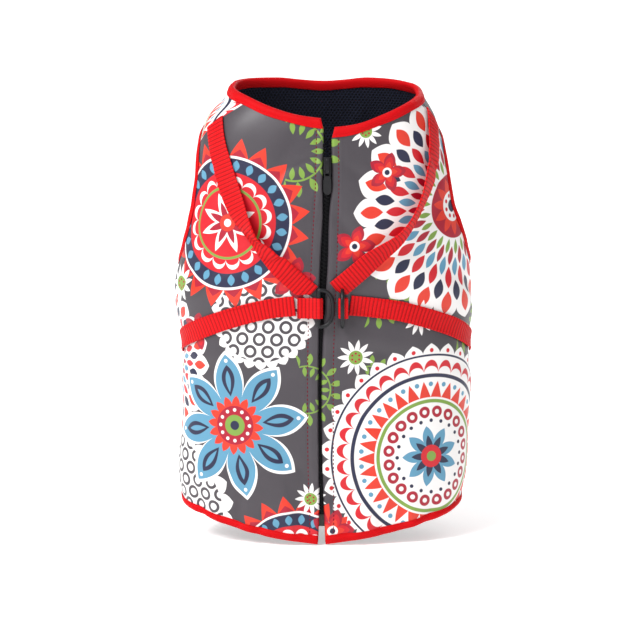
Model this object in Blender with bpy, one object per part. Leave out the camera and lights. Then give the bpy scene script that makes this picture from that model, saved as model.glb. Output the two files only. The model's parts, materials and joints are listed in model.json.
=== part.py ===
"""Dog vest with a built-in harness, filled out and standing neck up.

Two back panels close with an open-ended zip, a chest panel goes over the
shoulders and round the sides, and all three are lined with air mesh. Bound
edges, webbing straps and two D-rings over the zip finish it.

Every cloth piece is a wall on one body surface. A place on that surface is
(s, z): s runs from 0 at the zip to +1 or -1 at the middle of the chest, with
+X on the positive side, and z is the height in millimetres above the middle of
the neck opening. The zip faces -Y and the neck is up. Sizes are in
millimetres, and they become metres when a mesh is made.
"""

from collections import namedtuple
from functools import lru_cache
from math import cos, exp, pi, radians, sin, sqrt

import bmesh
import bpy
import numpy as np
from mathutils import Vector

MM = 0.001

# Cloth, measured along the outward normal from the body surface
CLOTH_OUT = 0.6
CLOTH_IN = -0.6
LINING_OUT = -0.9
LINING_IN = -2.1
GAP = 0.3
HEM_GAP = 0.6
ARMHOLE_GAP = 0.5

# Bound edges
NECK_BINDING = 7.2
HEM_BINDING = 6.4
ARMHOLE_BINDING = 7.2

# Webbing
WEBBING_WIDTH = 15.0
WEBBING_THICK = 1.5
WEBBING_UNDER = CLOTH_OUT + 0.7

# Zip
TAPE_EDGE = 13.0
TAPE_OUT = -1.0
TAPE_IN = -2.0
LINING_START = 13.6
TEETH_IN = -3.1
CHAIN_HALF = 2.4
SLIDER_TOP = -38.4
SLIDER_FOOT = -50.4
BOX_TOP = -303.5
BOX_FOOT = -312.5

# Rings and their loops
RING_HEIGHT = -149.0
RING_WIRE = 1.5
RING_HALF = 13.5
RING_REACH = 10.5
RING_LIFT = 4.8
RING_LEAN = radians(2.0)
LEFT_RING_X = -3.2
RIGHT_RING_X = 14.2

# Width of the surface along its girth for each unit of s
GIRTH_SCALE = 262.0
SECTION_POWER = 2.35
SIDE_SEAM = 0.515

Section = namedtuple("Section", "z left right front back zip_x")
SECTIONS = [
    Section(-330.0, 99.0, 96.5, 57.0, 58.0, -1.0),
    Section(-303.0, 101.5, 100.8, 58.5, 61.0, -1.0),
    Section(-276.0, 107.0, 107.3, 59.8, 63.5, -1.6),
    Section(-230.0, 105.0, 110.5, 61.0, 66.5, -2.2),
    Section(-186.0, 104.6, 109.6, 61.6, 70.0, -2.0),
    Section(-140.0, 110.4, 111.0, 61.2, 73.0, -0.4),
    Section(-118.0, 105.8, 108.4, 60.6, 72.5, 0.6),
    Section(-98.0, 102.6, 105.6, 60.0, 70.5, 1.4),
    Section(-76.0, 98.6, 98.3, 59.3, 66.5, 2.4),
    Section(-60.0, 96.2, 95.4, 58.8, 62.5, 3.0),
    Section(-38.0, 92.6, 90.0, 57.2, 55.5, 3.2),
    Section(-23.0, 88.8, 85.6, 55.4, 49.5, 3.3),
    Section(-12.0, 84.0, 82.0, 53.0, 45.0, 3.4),
    Section(0.0, 73.5, 75.2, 49.5, 41.0, 3.4),
    Section(10.0, 67.0, 68.3, 46.0, 38.5, 3.4),
]

# Height of the neck edge on each side, which stands lower right of the zip
NeckHeight = namedtuple("NeckHeight", "s left right")
NECK_EDGE = [
    NeckHeight(0.0, -10.9, -17.3),
    NeckHeight(0.1, -8.1, -14.5),
    NeckHeight(0.2, -2.6, -7.8),
    NeckHeight(0.32, 4.7, -0.2),
    NeckHeight(0.45, 9.4, 5.8),
    NeckHeight(0.6, 12.4, 10.4),
    NeckHeight(0.8, 12.6, 12.6),
    NeckHeight(0.9, 10.9, 10.9),
    NeckHeight(0.96, 10.0, 10.0),
    NeckHeight(1.0, 9.85, 9.85),
]

# Height of the hem round half the vest
EdgeHeight = namedtuple("EdgeHeight", "s z")
HEM_EDGE = [
    EdgeHeight(0.0, -326.4),
    EdgeHeight(0.12, -322.2),
    EdgeHeight(0.22, -317.4),
    EdgeHeight(0.31, -311.6),
    EdgeHeight(0.4, -305.4),
    EdgeHeight(0.5, -299.6),
    EdgeHeight(0.7, -291.6),
    EdgeHeight(0.86, -288.2),
    EdgeHeight(0.95, -286.8),
    EdgeHeight(1.0, -286.65),
]

# Half the width of the slit over the zip, which is open above the slider
SlitWidth = namedtuple("SlitWidth", "z half")
SLIT = [
    SlitWidth(-326.0, 3.0),
    SlitWidth(-308.0, 2.3),
    SlitWidth(-280.0, 1.6),
    SlitWidth(-190.0, 1.4),
    SlitWidth(-150.0, 2.0),
    SlitWidth(-115.0, 2.8),
    SlitWidth(-84.0, 2.5),
    SlitWidth(-60.0, 3.5),
    SlitWidth(-20.0, 3.7),
]
# An s just beside the zip, where the edges of one side are read
NEAR_ZIP = 0.03
# Half the gap between the ends of the neck binding, at its upper edge
NECK_SPREAD = 6.0

# Armholes, in s and z
ARM_S = 0.61
ARM_Z = -73.0
ARM_HALF_S = 0.17
ARM_HALF_Z = 49.0
ARM_POWER = 2.6
ARM_TOP_SHARE = 0.85
ARM_LOWER_FRONT = radians(242.0)
ARM_LOWER_BACK = radians(315.0)
ARM_UPPER_BACK = radians(45.0)
ARM_UPPER_FRONT = radians(135.0)

# Where the shoulder seams meet the neck binding, in s
LEFT_SEAM_TOP = 0.314
RIGHT_SEAM_TOP = 0.398

# Middle lines of the straps
StrapPoint = namedtuple("StrapPoint", "s z")
SHOULDER_STRAP_LEFT = [
    StrapPoint(0.43, -2.0),
    StrapPoint(0.37, -19.5),
    StrapPoint(0.323, -40.5),
    StrapPoint(0.282, -61.0),
    StrapPoint(0.24, -80.5),
    StrapPoint(0.19, -97.7),
    StrapPoint(0.135, -113.8),
    StrapPoint(0.085, -126.0),
    StrapPoint(0.03, -139.0),
]
SHOULDER_STRAP_RIGHT = [
    StrapPoint(0.455, -3.0),
    StrapPoint(0.395, -19.5),
    StrapPoint(0.35, -39.0),
    StrapPoint(0.303, -58.5),
    StrapPoint(0.256, -79.0),
    StrapPoint(0.203, -97.0),
    StrapPoint(0.14, -110.5),
    StrapPoint(0.09, -122.5),
    StrapPoint(0.035, -136.0),
]
GIRTH_STRAP_LEFT = [
    StrapPoint(0.0705, -147.6),
    StrapPoint(0.15, -150.8),
    StrapPoint(0.25, -158.6),
    StrapPoint(0.38, -171.6),
    StrapPoint(0.47, -180.4),
    StrapPoint(0.515, -184.0),
]
GIRTH_STRAP_RIGHT = [
    StrapPoint(0.0715, -147.2),
    StrapPoint(0.14, -149.4),
    StrapPoint(0.215, -153.2),
    StrapPoint(0.34, -164.4),
    StrapPoint(0.46, -178.6),
    StrapPoint(0.515, -183.4),
]
# Between its ends a shoulder strap stands on its outer edge, its inner edge
# raised by an angle that is largest at a share of its length
Roll = namedtuple("Roll", "angle share spread")
LEFT_STRAP_ROLL = Roll(52.0, 0.63, 0.2)
RIGHT_STRAP_ROLL = Roll(56.0, 0.52, 0.31)

# Main folds: troughs have a positive depth, ridges a negative one. lean is the
# turn of the fold from upright, along and across are half its length and width.
Fold = namedtuple("Fold", "s z along across lean depth")
FOLDS = [
    Fold(-0.27, -305.0, 34.0, 11.0, 8.0, 1.8),
    Fold(-0.12, -300.0, 46.0, 15.0, -6.0, -1.4),
    Fold(0.21, -302.0, 38.0, 12.0, -10.0, 1.9),
    Fold(0.35, -294.0, 44.0, 14.0, 6.0, -1.5),
    Fold(-0.42, -290.0, 48.0, 14.0, 4.0, -1.4),
    Fold(0.52, -288.0, 46.0, 13.0, -5.0, 1.6),
    Fold(-0.6, -284.0, 46.0, 13.0, 7.0, 1.7),
    Fold(0.74, -276.0, 50.0, 15.0, 8.0, -1.6),
    Fold(-0.82, -278.0, 46.0, 13.0, -7.0, 1.6),
    Fold(0.95, -272.0, 44.0, 13.0, 3.0, 1.7),
    Fold(-0.33, -126.0, 30.0, 11.0, 62.0, 1.5),
    Fold(0.4, -131.0, 32.0, 11.0, -58.0, 1.7),
    Fold(-0.16, -208.0, 40.0, 12.0, 68.0, 1.1),
    Fold(0.3, -214.0, 42.0, 13.0, -72.0, 1.2),
    Fold(0.86, -60.0, 34.0, 12.0, -38.0, 1.6),
    Fold(-0.9, -66.0, 36.0, 12.0, 42.0, 1.5),
    Fold(0.8, -150.0, 40.0, 13.0, 66.0, 1.5),
    Fold(-0.76, -156.0, 38.0, 12.0, -64.0, 1.6),
]
# The girth strap pulls the cloth in, and the cloth rises a little beside it
CINCH_DEPTH = 1.6
CINCH_HALF = 13.0
CINCH_RISE = 0.7
CINCH_RISE_AT = 2.1
CINCH_START = 0.12
CINCH_END = 0.66
CINCH_FADE = 0.14
HEM_FLARE = 2.0
HEM_FLARE_REACH = 34.0


def smooth(places, values, x):
    """A smooth curve through a table whose places rise, level past its ends."""
    if x <= places[0]:
        return values[0]
    if x >= places[-1]:
        return values[-1]
    i = int(np.searchsorted(places, x)) - 1
    step = places[i + 1] - places[i]

    def slope(k):
        low = max(k - 1, 0)
        high = min(k + 1, len(places) - 1)
        return (values[high] - values[low]) / (places[high] - places[low])

    t = (x - places[i]) / step
    start = (1.0 + 2.0 * t) * (1.0 - t) ** 2 * values[i]
    end = t * t * (3.0 - 2.0 * t) * values[i + 1]
    leave = t * (1.0 - t) ** 2 * step * slope(i)
    arrive = t * t * (t - 1.0) * step * slope(i + 1)
    return start + end + leave + arrive


def column(table, name):
    return [getattr(row, name) for row in table]


SECTION_Z = column(SECTIONS, "z")
SECTION_COLUMNS = {name: column(SECTIONS, name) for name in Section._fields}


@lru_cache(maxsize=None)
def section(z):
    """Half widths, depths and the zip's offset at one height."""
    names = ("left", "right", "front", "back", "zip_x")
    return tuple(smooth(SECTION_Z, SECTION_COLUMNS[name], z) for name in names)


ARC_STEPS = 64
ARC_ANGLES = np.linspace(0.0, pi / 2.0, ARC_STEPS + 1)
ARC_ACROSS = np.sin(ARC_ANGLES) ** (2.0 / SECTION_POWER)
ARC_DEEP = np.cos(ARC_ANGLES) ** (2.0 / SECTION_POWER)


@lru_cache(maxsize=None)
def quarter_lengths(half_width, depth):
    """Share of a quarter's length reached at each step, from the middle out."""
    steps = np.hypot(np.diff(ARC_ACROSS) * half_width, np.diff(ARC_DEEP) * depth)
    lengths = np.concatenate(([0.0], np.cumsum(steps)))
    return lengths / lengths[-1]


def quarter_point(half_width, depth, share):
    """Point at a share of a quarter's length, as width and depth."""
    lengths = quarter_lengths(half_width, depth)
    across = float(np.interp(share, lengths, ARC_ACROSS))
    deep = float(np.interp(share, lengths, ARC_DEEP))
    return across * half_width, deep * depth


def wrapped(s):
    """s brought back into -1 to 1."""
    return (s + 1.0) % 2.0 - 1.0


def body_point(s, z):
    """Plain body surface, before its folds."""
    s = wrapped(s)
    left, right, front, back, zip_x = section(round(z, 4))
    half_width = right if s >= 0.0 else left
    side = 1.0 if s >= 0.0 else -1.0
    reach = abs(s)
    if reach <= 0.5:
        x, y = quarter_point(half_width, front, reach * 2.0)
        return Vector((side * x + zip_x * cos(pi * reach) ** 2, -y, z))
    x, y = quarter_point(half_width, back, (1.0 - reach) * 2.0)
    return Vector((side * x, y, z))


def girth_height(s):
    """Height of the girth strap's middle line."""
    table = GIRTH_STRAP_RIGHT if s >= 0.0 else GIRTH_STRAP_LEFT
    return smooth(column(table, "s"), column(table, "z"), abs(s))


def neck_height(s):
    s = wrapped(s)
    heights = column(NECK_EDGE, "right" if s >= 0.0 else "left")
    return smooth(column(NECK_EDGE, "s"), heights, abs(s))


def hem_height(s):
    return smooth(column(HEM_EDGE, "s"), column(HEM_EDGE, "z"), abs(wrapped(s)))


def relief(s, z):
    """How far folds, the strap's pull and the hem's flare move the cloth out."""
    s = wrapped(s)
    out = 0.0
    for fold in FOLDS:
        du = wrapped(s - fold.s) * GIRTH_SCALE
        dz = z - fold.z
        lean = radians(fold.lean)
        along = dz * cos(lean) + du * sin(lean)
        across = du * cos(lean) - dz * sin(lean)
        out -= fold.depth * exp(-((along / fold.along) ** 2) - (across / fold.across) ** 2)
    reach = abs(s)
    fade = min(1.0, reach / CINCH_START) * min(1.0, max(0.0, (CINCH_END - reach) / CINCH_FADE))
    away = (z - girth_height(s)) / CINCH_HALF
    beside = abs(away) - CINCH_RISE_AT
    out += fade * CINCH_DEPTH * (CINCH_RISE * exp(-beside * beside) - exp(-away * away))
    above_hem = (z - hem_height(s)) / HEM_FLARE_REACH
    out += HEM_FLARE * exp(-above_hem * above_hem)
    return out


PROBE_S = 0.002
PROBE_Z = 0.5


def frame_of(point_at, s, z):
    """Steps along s and z and the outward normal of a surface."""
    along_s = (point_at(s + PROBE_S, z) - point_at(s - PROBE_S, z)) / (2.0 * PROBE_S)
    along_z = (point_at(s, z + PROBE_Z) - point_at(s, z - PROBE_Z)) / (2.0 * PROBE_Z)
    return along_s, along_z, along_s.cross(along_z).normalized()


@lru_cache(maxsize=None)
def cloth_middle(s, z):
    """Point on the cloth's middle, folds included."""
    normal = frame_of(body_point, s, z)[2]
    return body_point(s, z) + normal * relief(s, z)


@lru_cache(maxsize=None)
def cloth_frame(s, z):
    return frame_of(cloth_middle, s, z)


def cloth_point(place, height):
    """Point at a height over the cloth's middle."""
    s = round(place[0], 7)
    z = round(place[1], 5)
    return cloth_middle(s, z) + cloth_frame(s, z)[2] * height


def slit_half(z):
    return smooth(column(SLIT, "z"), column(SLIT, "half"), z)


def armhole(angle, inset):
    """Place on an armhole's edge, or that far into the cloth round it."""
    power = 2.0 / ARM_POWER
    across = abs(cos(angle)) ** power * (1.0 if cos(angle) >= 0.0 else -1.0)
    upright = abs(sin(angle)) ** power * (1.0 if sin(angle) >= 0.0 else -1.0)
    rise = inset * (ARM_TOP_SHARE if upright > 0.0 else 1.0)
    half_s = ARM_HALF_S + inset / GIRTH_SCALE
    return ARM_S + half_s * across, ARM_Z + (ARM_HALF_Z + rise) * upright


def between(a, b, t):
    return a + (b - a) * t


def chest_s(s):
    """s past the middle of the chest, taken as its negative side."""
    return s if s <= 1.0 else s - 2.0


class Grid:
    """A sheet of four-sided faces over places on the body surface."""

    def __init__(self):
        self.places = []
        self.faces = []
        self.index = {}

    def place(self, s, z):
        key = (round(s, 5), round(z, 3))
        if key not in self.index:
            self.index[key] = len(self.places)
            self.places.append((s, z))
        return self.index[key]

    def block(self, place_at, shares_u, shares_v, turned=False):
        """Faces between place_at(u, v) for the shares along each side."""
        rows = [[self.place(*place_at(u, v)) for u in shares_u] for v in shares_v]
        for low, high in zip(rows, rows[1:]):
            for k in range(len(shares_u) - 1):
                face = (low[k], low[k + 1], high[k + 1], high[k])
                self.faces.append(tuple(reversed(face)) if turned else face)

    def mirrored(self):
        """The same sheet on the other side of the zip."""
        other = Grid()
        other.places = [(-s, z) for s, z in self.places]
        other.faces = [tuple(reversed(face)) for face in self.faces]
        return other


def spread(start, end, count):
    """Evenly spaced values with both ends."""
    return [between(start, end, k / count) for k in range(count + 1)]


def shares(count):
    return spread(0.0, 1.0, count)


def wall_mesh(grid, inner, outer):
    """Closed wall on a grid, from its inner to its outer height."""
    mesh = bmesh.new()
    tops = [mesh.verts.new(cloth_point(place, outer) * MM) for place in grid.places]
    bases = [mesh.verts.new(cloth_point(place, inner) * MM) for place in grid.places]
    sides = {}
    for face in grid.faces:
        for corners in ((face[0], face[1], face[2]), (face[0], face[2], face[3])):
            mesh.faces.new([tops[k] for k in corners])
            mesh.faces.new([bases[k] for k in reversed(corners)])
        for a, b in zip(face, face[1:] + face[:1]):
            if (b, a) in sides:
                del sides[(b, a)]
            else:
                sides[(a, b)] = True
    for a, b in sides:
        mesh.faces.new([tops[b], tops[a], bases[a], bases[b]])
    return mesh


def swept_mesh(stations, closed):
    """Closed body through rings of points, joined end to end or capped."""
    mesh = bmesh.new()
    rings = [[mesh.verts.new(point * MM) for point in ring] for ring in stations]
    count = len(rings[0])
    pairs = list(zip(rings, rings[1:]))
    if closed:
        pairs.append((rings[-1], rings[0]))
    for near, far in pairs:
        for k in range(count):
            m = (k + 1) % count
            mesh.faces.new([near[k], near[m], far[m], far[k]])
    if not closed:
        mesh.faces.new(list(reversed(rings[0])))
        mesh.faces.new(rings[-1])
    return mesh


def finish(name, mesh, material, smooth_faces=True):
    """Turn a bmesh into a named object with its material."""
    bmesh.ops.recalc_face_normals(mesh, faces=mesh.faces)
    data = bpy.data.meshes.new(name)
    mesh.to_mesh(data)
    mesh.free()
    data.materials.append(material)
    if smooth_faces:
        data.shade_smooth()
        data.set_sharp_from_angle(angle=radians(40.0))
    piece = bpy.data.objects.new(name, data)
    bpy.context.collection.objects.link(piece)
    return piece


def make_material(name, colour, roughness, metallic=0.0):
    material = bpy.data.materials.new(name)
    material.use_nodes = True
    shader = material.node_tree.nodes["Principled BSDF"]
    shader.inputs["Base Color"].default_value = (*colour, 1.0)
    shader.inputs["Roughness"].default_value = roughness
    shader.inputs["Metallic"].default_value = metallic
    return material


# ---------------------------------------------------------------- panels

BACK_ROWS_LOW = 15
BACK_ROWS_ARM = 9
BACK_ROWS_SHOULDER = 3
BACK_COLUMNS = 7
CHEST_COLUMNS_MIDDLE = 6
CHEST_COLUMNS_SIDE = 5
CHEST_COLUMNS_YOKE = 7


def side_seam_place(share, inset):
    """Place on the side seam, from the hem up to the armhole."""
    s, top = armhole(ARM_LOWER_FRONT, inset)
    return s, between(hem_height(SIDE_SEAM) + HEM_BINDING + HEM_GAP, top, share)


def front_armhole_place(share, inset):
    """Place on the back panel's edge round the armhole, from the side seam up."""
    return armhole(between(ARM_LOWER_FRONT, ARM_UPPER_FRONT, share), inset)


def seam_top(side):
    """Where a shoulder seam ends, just under the neck binding."""
    s = RIGHT_SEAM_TOP if side > 0.0 else LEFT_SEAM_TOP
    return s, neck_height(side * s) - NECK_BINDING - GAP


def shoulder_seam_place(share, inset, side):
    """Place on a shoulder seam, from the armhole up to the neck binding."""
    s_low, z_low = armhole(ARM_UPPER_FRONT, inset)
    s_top, z_top = seam_top(side)
    return between(s_low, s_top, share), between(z_low, z_top, share)


def back_edge_places(inset, side):
    """The whole outer edge of a back panel, from the hem up."""
    low = [side_seam_place(share, inset) for share in shares(BACK_ROWS_LOW)]
    arm = [front_armhole_place(share, inset) for share in shares(BACK_ROWS_ARM)]
    top = [shoulder_seam_place(share, inset, side) for share in shares(BACK_ROWS_SHOULDER)]
    return low + arm[1:] + top[1:]


def panel_span(s):
    """Lowest and highest cloth between the hem and neck bindings."""
    return hem_height(s) + HEM_BINDING + HEM_GAP, neck_height(s) - NECK_BINDING - GAP


def back_grid(first_column, side):
    """A back panel from the slit, or with a later first column its lining."""
    edge = back_edge_places(ARMHOLE_BINDING + ARMHOLE_GAP, side)
    z_low = edge[0][1]
    z_high = edge[-1][1]
    grid = Grid()
    rows = []
    for s_edge, z_edge in edge:
        share = (z_edge - z_low) / (z_high - z_low)
        s_slit = slit_half(between(*panel_span(side * NEAR_ZIP), share)) / GIRTH_SCALE
        s_lining = LINING_START / GIRTH_SCALE
        across = [s_slit] + [between(s_lining, s_edge, t) for t in shares(BACK_COLUMNS - 1)]
        shift = z_edge - between(*panel_span(side * s_edge), share)
        row = []
        for s in across[first_column:]:
            u = (s - s_slit) / (s_edge - s_slit)
            row.append(grid.place(s, between(*panel_span(side * s), share) + shift * u))
        rows.append(row)
    for low, high in zip(rows, rows[1:]):
        for k in range(len(low) - 1):
            grid.faces.append((low[k], low[k + 1], high[k + 1], high[k]))
    return grid if side > 0.0 else grid.mirrored()


def chest_half_blocks(grid, side):
    """Side and shoulder blocks of the chest panel on one side."""
    inset = ARMHOLE_BINDING + ARMHOLE_GAP
    seam_gap = GAP / GIRTH_SCALE

    def low_place(u, v):
        if u == 0.0:
            s, z = side_seam_place(v, inset)
            return side * (s + seam_gap), z
        s, top = armhole(between(ARM_LOWER_FRONT, ARM_LOWER_BACK, u), inset)
        return side * s, between(hem_height(s) + HEM_BINDING + HEM_GAP, top, v)

    def yoke_place(u, v):
        shift = seam_gap * 2.0 * (1.0 - u)
        if u == 0.0:
            s, z = shoulder_seam_place(v, inset, side)
            return side * (s + shift), z
        s_low, z_low = armhole(between(ARM_UPPER_FRONT, ARM_UPPER_BACK, u), inset)
        s_top = between(seam_top(side)[0], armhole(ARM_UPPER_BACK, inset)[0], u)
        z_top = neck_height(side * s_top) - NECK_BINDING - GAP
        return side * (between(s_low, s_top, v) + shift), between(z_low, z_top, v)

    turned = side < 0.0
    grid.block(low_place, shares(CHEST_COLUMNS_SIDE), shares(BACK_ROWS_LOW), turned)
    grid.block(yoke_place, shares(CHEST_COLUMNS_YOKE), shares(BACK_ROWS_SHOULDER), turned)


def chest_grid():
    """Chest panel: its middle, its two sides and its two shoulders."""
    inset = ARMHOLE_BINDING + ARMHOLE_GAP
    grid = Grid()
    for side in (1.0, -1.0):
        chest_half_blocks(grid, side)
    lower = armhole(ARM_LOWER_BACK, inset)
    upper = armhole(ARM_UPPER_BACK, inset)

    def across_chest(edge_s, u):
        """s from the right armhole's side of the chest to the left one's."""
        return between(edge_s, 2.0 - edge_s, u)

    def low_place(u, v):
        s = across_chest(lower[0], u)
        return chest_s(s), between(hem_height(s) + HEM_BINDING + HEM_GAP, lower[1], v)

    def arm_place(u, v):
        s, z = armhole(between(ARM_LOWER_BACK, ARM_UPPER_BACK + 2.0 * pi, v), inset)
        return chest_s(across_chest(s, u)), z

    def top_place(u, v):
        s = across_chest(upper[0], u)
        return chest_s(s), between(upper[1], neck_height(s) - NECK_BINDING - GAP, v)

    across = shares(CHEST_COLUMNS_MIDDLE)
    grid.block(low_place, across, shares(BACK_ROWS_LOW))
    grid.block(arm_place, across, shares(BACK_ROWS_ARM))
    grid.block(top_place, across, shares(BACK_ROWS_SHOULDER))
    return grid


def build_panels(cloth, mesh_cloth):
    chest = chest_grid()
    for side, name in ((1.0, "right"), (-1.0, "left")):
        panel = wall_mesh(back_grid(0, side), CLOTH_IN, CLOTH_OUT)
        lining = wall_mesh(back_grid(1, side), LINING_IN, LINING_OUT)
        finish("panel_back_" + name, panel, cloth)
        finish("lining_back_" + name, lining, mesh_cloth)
    finish("panel_chest", wall_mesh(chest, CLOTH_IN, CLOTH_OUT), cloth)
    finish("lining_chest", wall_mesh(chest, LINING_IN, LINING_OUT), mesh_cloth)


# ---------------------------------------------------------------- bindings

# Section of a folded tape: how far in from the edge, and the height
ProfilePoint = namedtuple("ProfilePoint", "inset height")
FOLDED_TAPE = [
    ProfilePoint(1.0, -2.7),
    ProfilePoint(1.0, 0.9),
    ProfilePoint(0.55, 1.5),
    ProfilePoint(0.1, 1.2),
    ProfilePoint(0.0, -0.7),
    ProfilePoint(0.12, -2.9),
    ProfilePoint(0.55, -3.2),
]
NECK_STATIONS = 60
HEM_STATIONS = 64


def folded_tape(name, place_at, width, params, closed, material):
    stations = []
    for t in params:
        ring = [cloth_point(place_at(t, p.inset * width), p.height) for p in FOLDED_TAPE]
        stations.append(ring)
    finish(name, swept_mesh(stations, closed), material)


def armhole_turns():
    """Angles round an armhole at which the panels have their corners."""
    stretches = (
        (ARM_UPPER_BACK, ARM_UPPER_FRONT, CHEST_COLUMNS_YOKE),
        (ARM_UPPER_FRONT, ARM_LOWER_FRONT, BACK_ROWS_ARM),
        (ARM_LOWER_FRONT, ARM_LOWER_BACK, CHEST_COLUMNS_SIDE),
        (ARM_LOWER_BACK, ARM_UPPER_BACK + 2.0 * pi, BACK_ROWS_ARM),
    )
    turns = []
    for start, end, count in stretches:
        turns += [between(start, end, k / count) for k in range(count)]
    return turns


def build_bindings(tape):
    hem_start = slit_half(hem_height(0.0)) / GIRTH_SCALE

    def neck_place(share, inset):
        narrow = slit_half(neck_height(NEAR_ZIP))
        start = between(NECK_SPREAD, narrow, inset / NECK_BINDING) / GIRTH_SCALE
        s = between(start, 2.0 - start, share)
        return s, neck_height(s) - inset

    def hem_place(s, inset):
        return s, hem_height(s) + inset

    hem = spread(hem_start, 2.0 - hem_start, HEM_STATIONS)
    folded_tape("binding_neck", neck_place, NECK_BINDING, shares(NECK_STATIONS), False, tape)
    folded_tape("binding_hem", hem_place, HEM_BINDING, hem, False, tape)
    turns = armhole_turns()
    for side, name in ((1.0, "right"), (-1.0, "left")):

        def arm_place(angle, inset, side=side):
            s, z = armhole(angle, inset)
            return side * s, z

        folded_tape("binding_armhole_" + name, arm_place, ARMHOLE_BINDING, turns, True, tape)


# ---------------------------------------------------------------- straps

STRAP_ROWS = 22
GIRTH_ROWS = 18
STRAP_HALVES = (-0.5, 0.0, 0.5)


def strap_middle(table, t):
    """Place on a strap's middle line, at a share of its table's rows."""
    rows = list(range(len(table)))
    at = t * (len(table) - 1)
    return smooth(rows, column(table, "s"), at), smooth(rows, column(table, "z"), at)


def strap_place(table, t, offset):
    """Place that far beside a strap's middle line, measured on the cloth."""
    step = 0.004
    s, z = strap_middle(table, t)
    s_low, z_low = strap_middle(table, max(t - step, 0.0))
    s_high, z_high = strap_middle(table, min(t + step, 1.0))
    along_s, along_z, _ = cloth_frame(round(s, 6), round(z, 4))
    run_s = (s_high - s_low) * along_s.length
    run_z = (z_high - z_low) * along_z.length
    run = sqrt(run_s ** 2 + run_z ** 2)
    return s - offset * run_z / run / along_s.length, z + offset * run_s / run / along_z.length


def cut_share(table, offset, beyond, low, high):
    """Share of the path where a line beside the middle crosses a cut."""
    for _ in range(24):
        middle = (low + high) / 2.0
        if beyond(*strap_place(table, middle, offset)):
            high = middle
        else:
            low = middle
    return (low + high) / 2.0


def strap_mesh(table, side, rows, start_at, end_at, roll_at):
    """Webbing along a strap's path; roll_at is how far its inner edge turns up."""
    stations = []
    for row in range(rows + 1):
        share = row / rows
        roll = roll_at(share)
        under = []
        over = []
        for part in STRAP_HALVES:
            offset = part * WEBBING_WIDTH * cos(roll)
            rise = (0.5 - part) * WEBBING_WIDTH * sin(roll)
            t = between(start_at(offset), end_at(offset), share)
            low = WEBBING_UNDER + rise
            high = low + WEBBING_THICK * cos(roll)
            s, z = strap_place(table, t, offset)
            under.append(cloth_point((side * s, z), low))
            s, z = strap_place(table, t, offset + WEBBING_THICK * sin(roll))
            over.append(cloth_point((side * s, z), high))
        stations.append(under + list(reversed(over)))
    return swept_mesh(stations, False)


def build_straps(webbing):
    inset = ARMHOLE_BINDING + ARMHOLE_GAP
    left = (-1.0, "left", SHOULDER_STRAP_LEFT, GIRTH_STRAP_LEFT)
    right = (1.0, "right", SHOULDER_STRAP_RIGHT, GIRTH_STRAP_RIGHT)
    for (side, name, shoulder, girth), roll in ((left, LEFT_STRAP_ROLL), (right, RIGHT_STRAP_ROLL)):
        seam_low = shoulder_seam_place(0.0, inset, side)
        seam_high = shoulder_seam_place(1.0, inset, side)

        def past_seam(s, z, low=seam_low, high=seam_high):
            seam = between(low[0], high[0], (z - low[1]) / (high[1] - low[1]))
            return s < seam - GAP / GIRTH_SCALE

        def past_girth(s, z, girth=girth):
            line = smooth(column(girth, "s"), column(girth, "z"), s)
            return z < line + WEBBING_WIDTH / 2.0 + 3.0 * GAP

        def start_at(offset, shoulder=shoulder, past_seam=past_seam):
            return cut_share(shoulder, offset, past_seam, 0.0, 0.5)

        def end_at(offset, shoulder=shoulder, past_girth=past_girth):
            return cut_share(shoulder, offset, past_girth, 0.5, 1.0)

        def roll_at(share, roll=roll):
            away = (share - roll.share) / roll.spread
            return radians(roll.angle) * exp(-away * away) * sqrt(sin(pi * share))

        strap = strap_mesh(shoulder, side, STRAP_ROWS, start_at, end_at, roll_at)
        finish("strap_shoulder_" + name, strap, webbing)
        none, whole = (lambda t: 0.0), (lambda t: 1.0)
        belt = strap_mesh(girth, side, GIRTH_ROWS, none, whole, none)
        finish("strap_girth_" + name, belt, webbing)


# ---------------------------------------------------------------- rings

WIRE_SIDES = 8
RING_ARC_STEPS = 16
LOOP_WRAP_STEPS = 8
LOOP_CLEAR = 0.35
LOOP_TAPER = 12.0
SHORT_TAIL = 8.0
# Millimetres along the cloth for each of GIRTH_SCALE, where the straps start
STRAP_END_RUN = 1.06
LEFT_TAIL_GAP = 0.6
RIGHT_TAIL_GAP = 1.6


def ring_frame(x, lean):
    """Middle of a ring's bar, with its reach, outward and bar directions."""
    s = x / GIRTH_SCALE
    base = cloth_point((s, RING_HEIGHT), RING_LIFT)
    reach = Vector((1.0, 0.0, 0.0))
    bar = Vector((0.0, sin(lean), cos(lean)))
    return Vector((x, base.y, base.z)), reach, reach.cross(bar), bar


def ring_outline():
    """D outline as reach and height, round from the bar's foot to its top."""
    points = [(0.0, 0.0)]
    for k in range(RING_ARC_STEPS + 1):
        angle = between(-pi / 2.0, pi / 2.0, k / RING_ARC_STEPS)
        reach = RING_REACH * abs(cos(angle)) ** 0.75
        height = RING_HALF * abs(sin(angle)) ** 0.85 * (1.0 if angle >= 0.0 else -1.0)
        points.append((reach, height))
    return points


def ring_mesh(origin, reach_way, out_way, bar_way):
    """Round wire swept along the D outline."""
    outline = ring_outline()
    count = len(outline)
    stations = []
    for k in range(count):
        here = Vector(outline[k])
        before = (here - Vector(outline[k - 1])).normalized()
        after = (Vector(outline[(k + 1) % count]) - here).normalized()
        run = (before + after).normalized()
        stretch = min(1.0 / max(run.dot(before), 0.5), 1.6)
        aside = Vector((run.y, -run.x)) * stretch
        ring = []
        for m in range(WIRE_SIDES):
            turn = 2.0 * pi * m / WIRE_SIDES
            flat = here + aside * RING_WIRE * cos(turn)
            depth = RING_WIRE * sin(turn)
            ring.append(origin + reach_way * flat.x + bar_way * flat.y + out_way * depth)
        stations.append(ring)
    return swept_mesh(stations, True)


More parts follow.
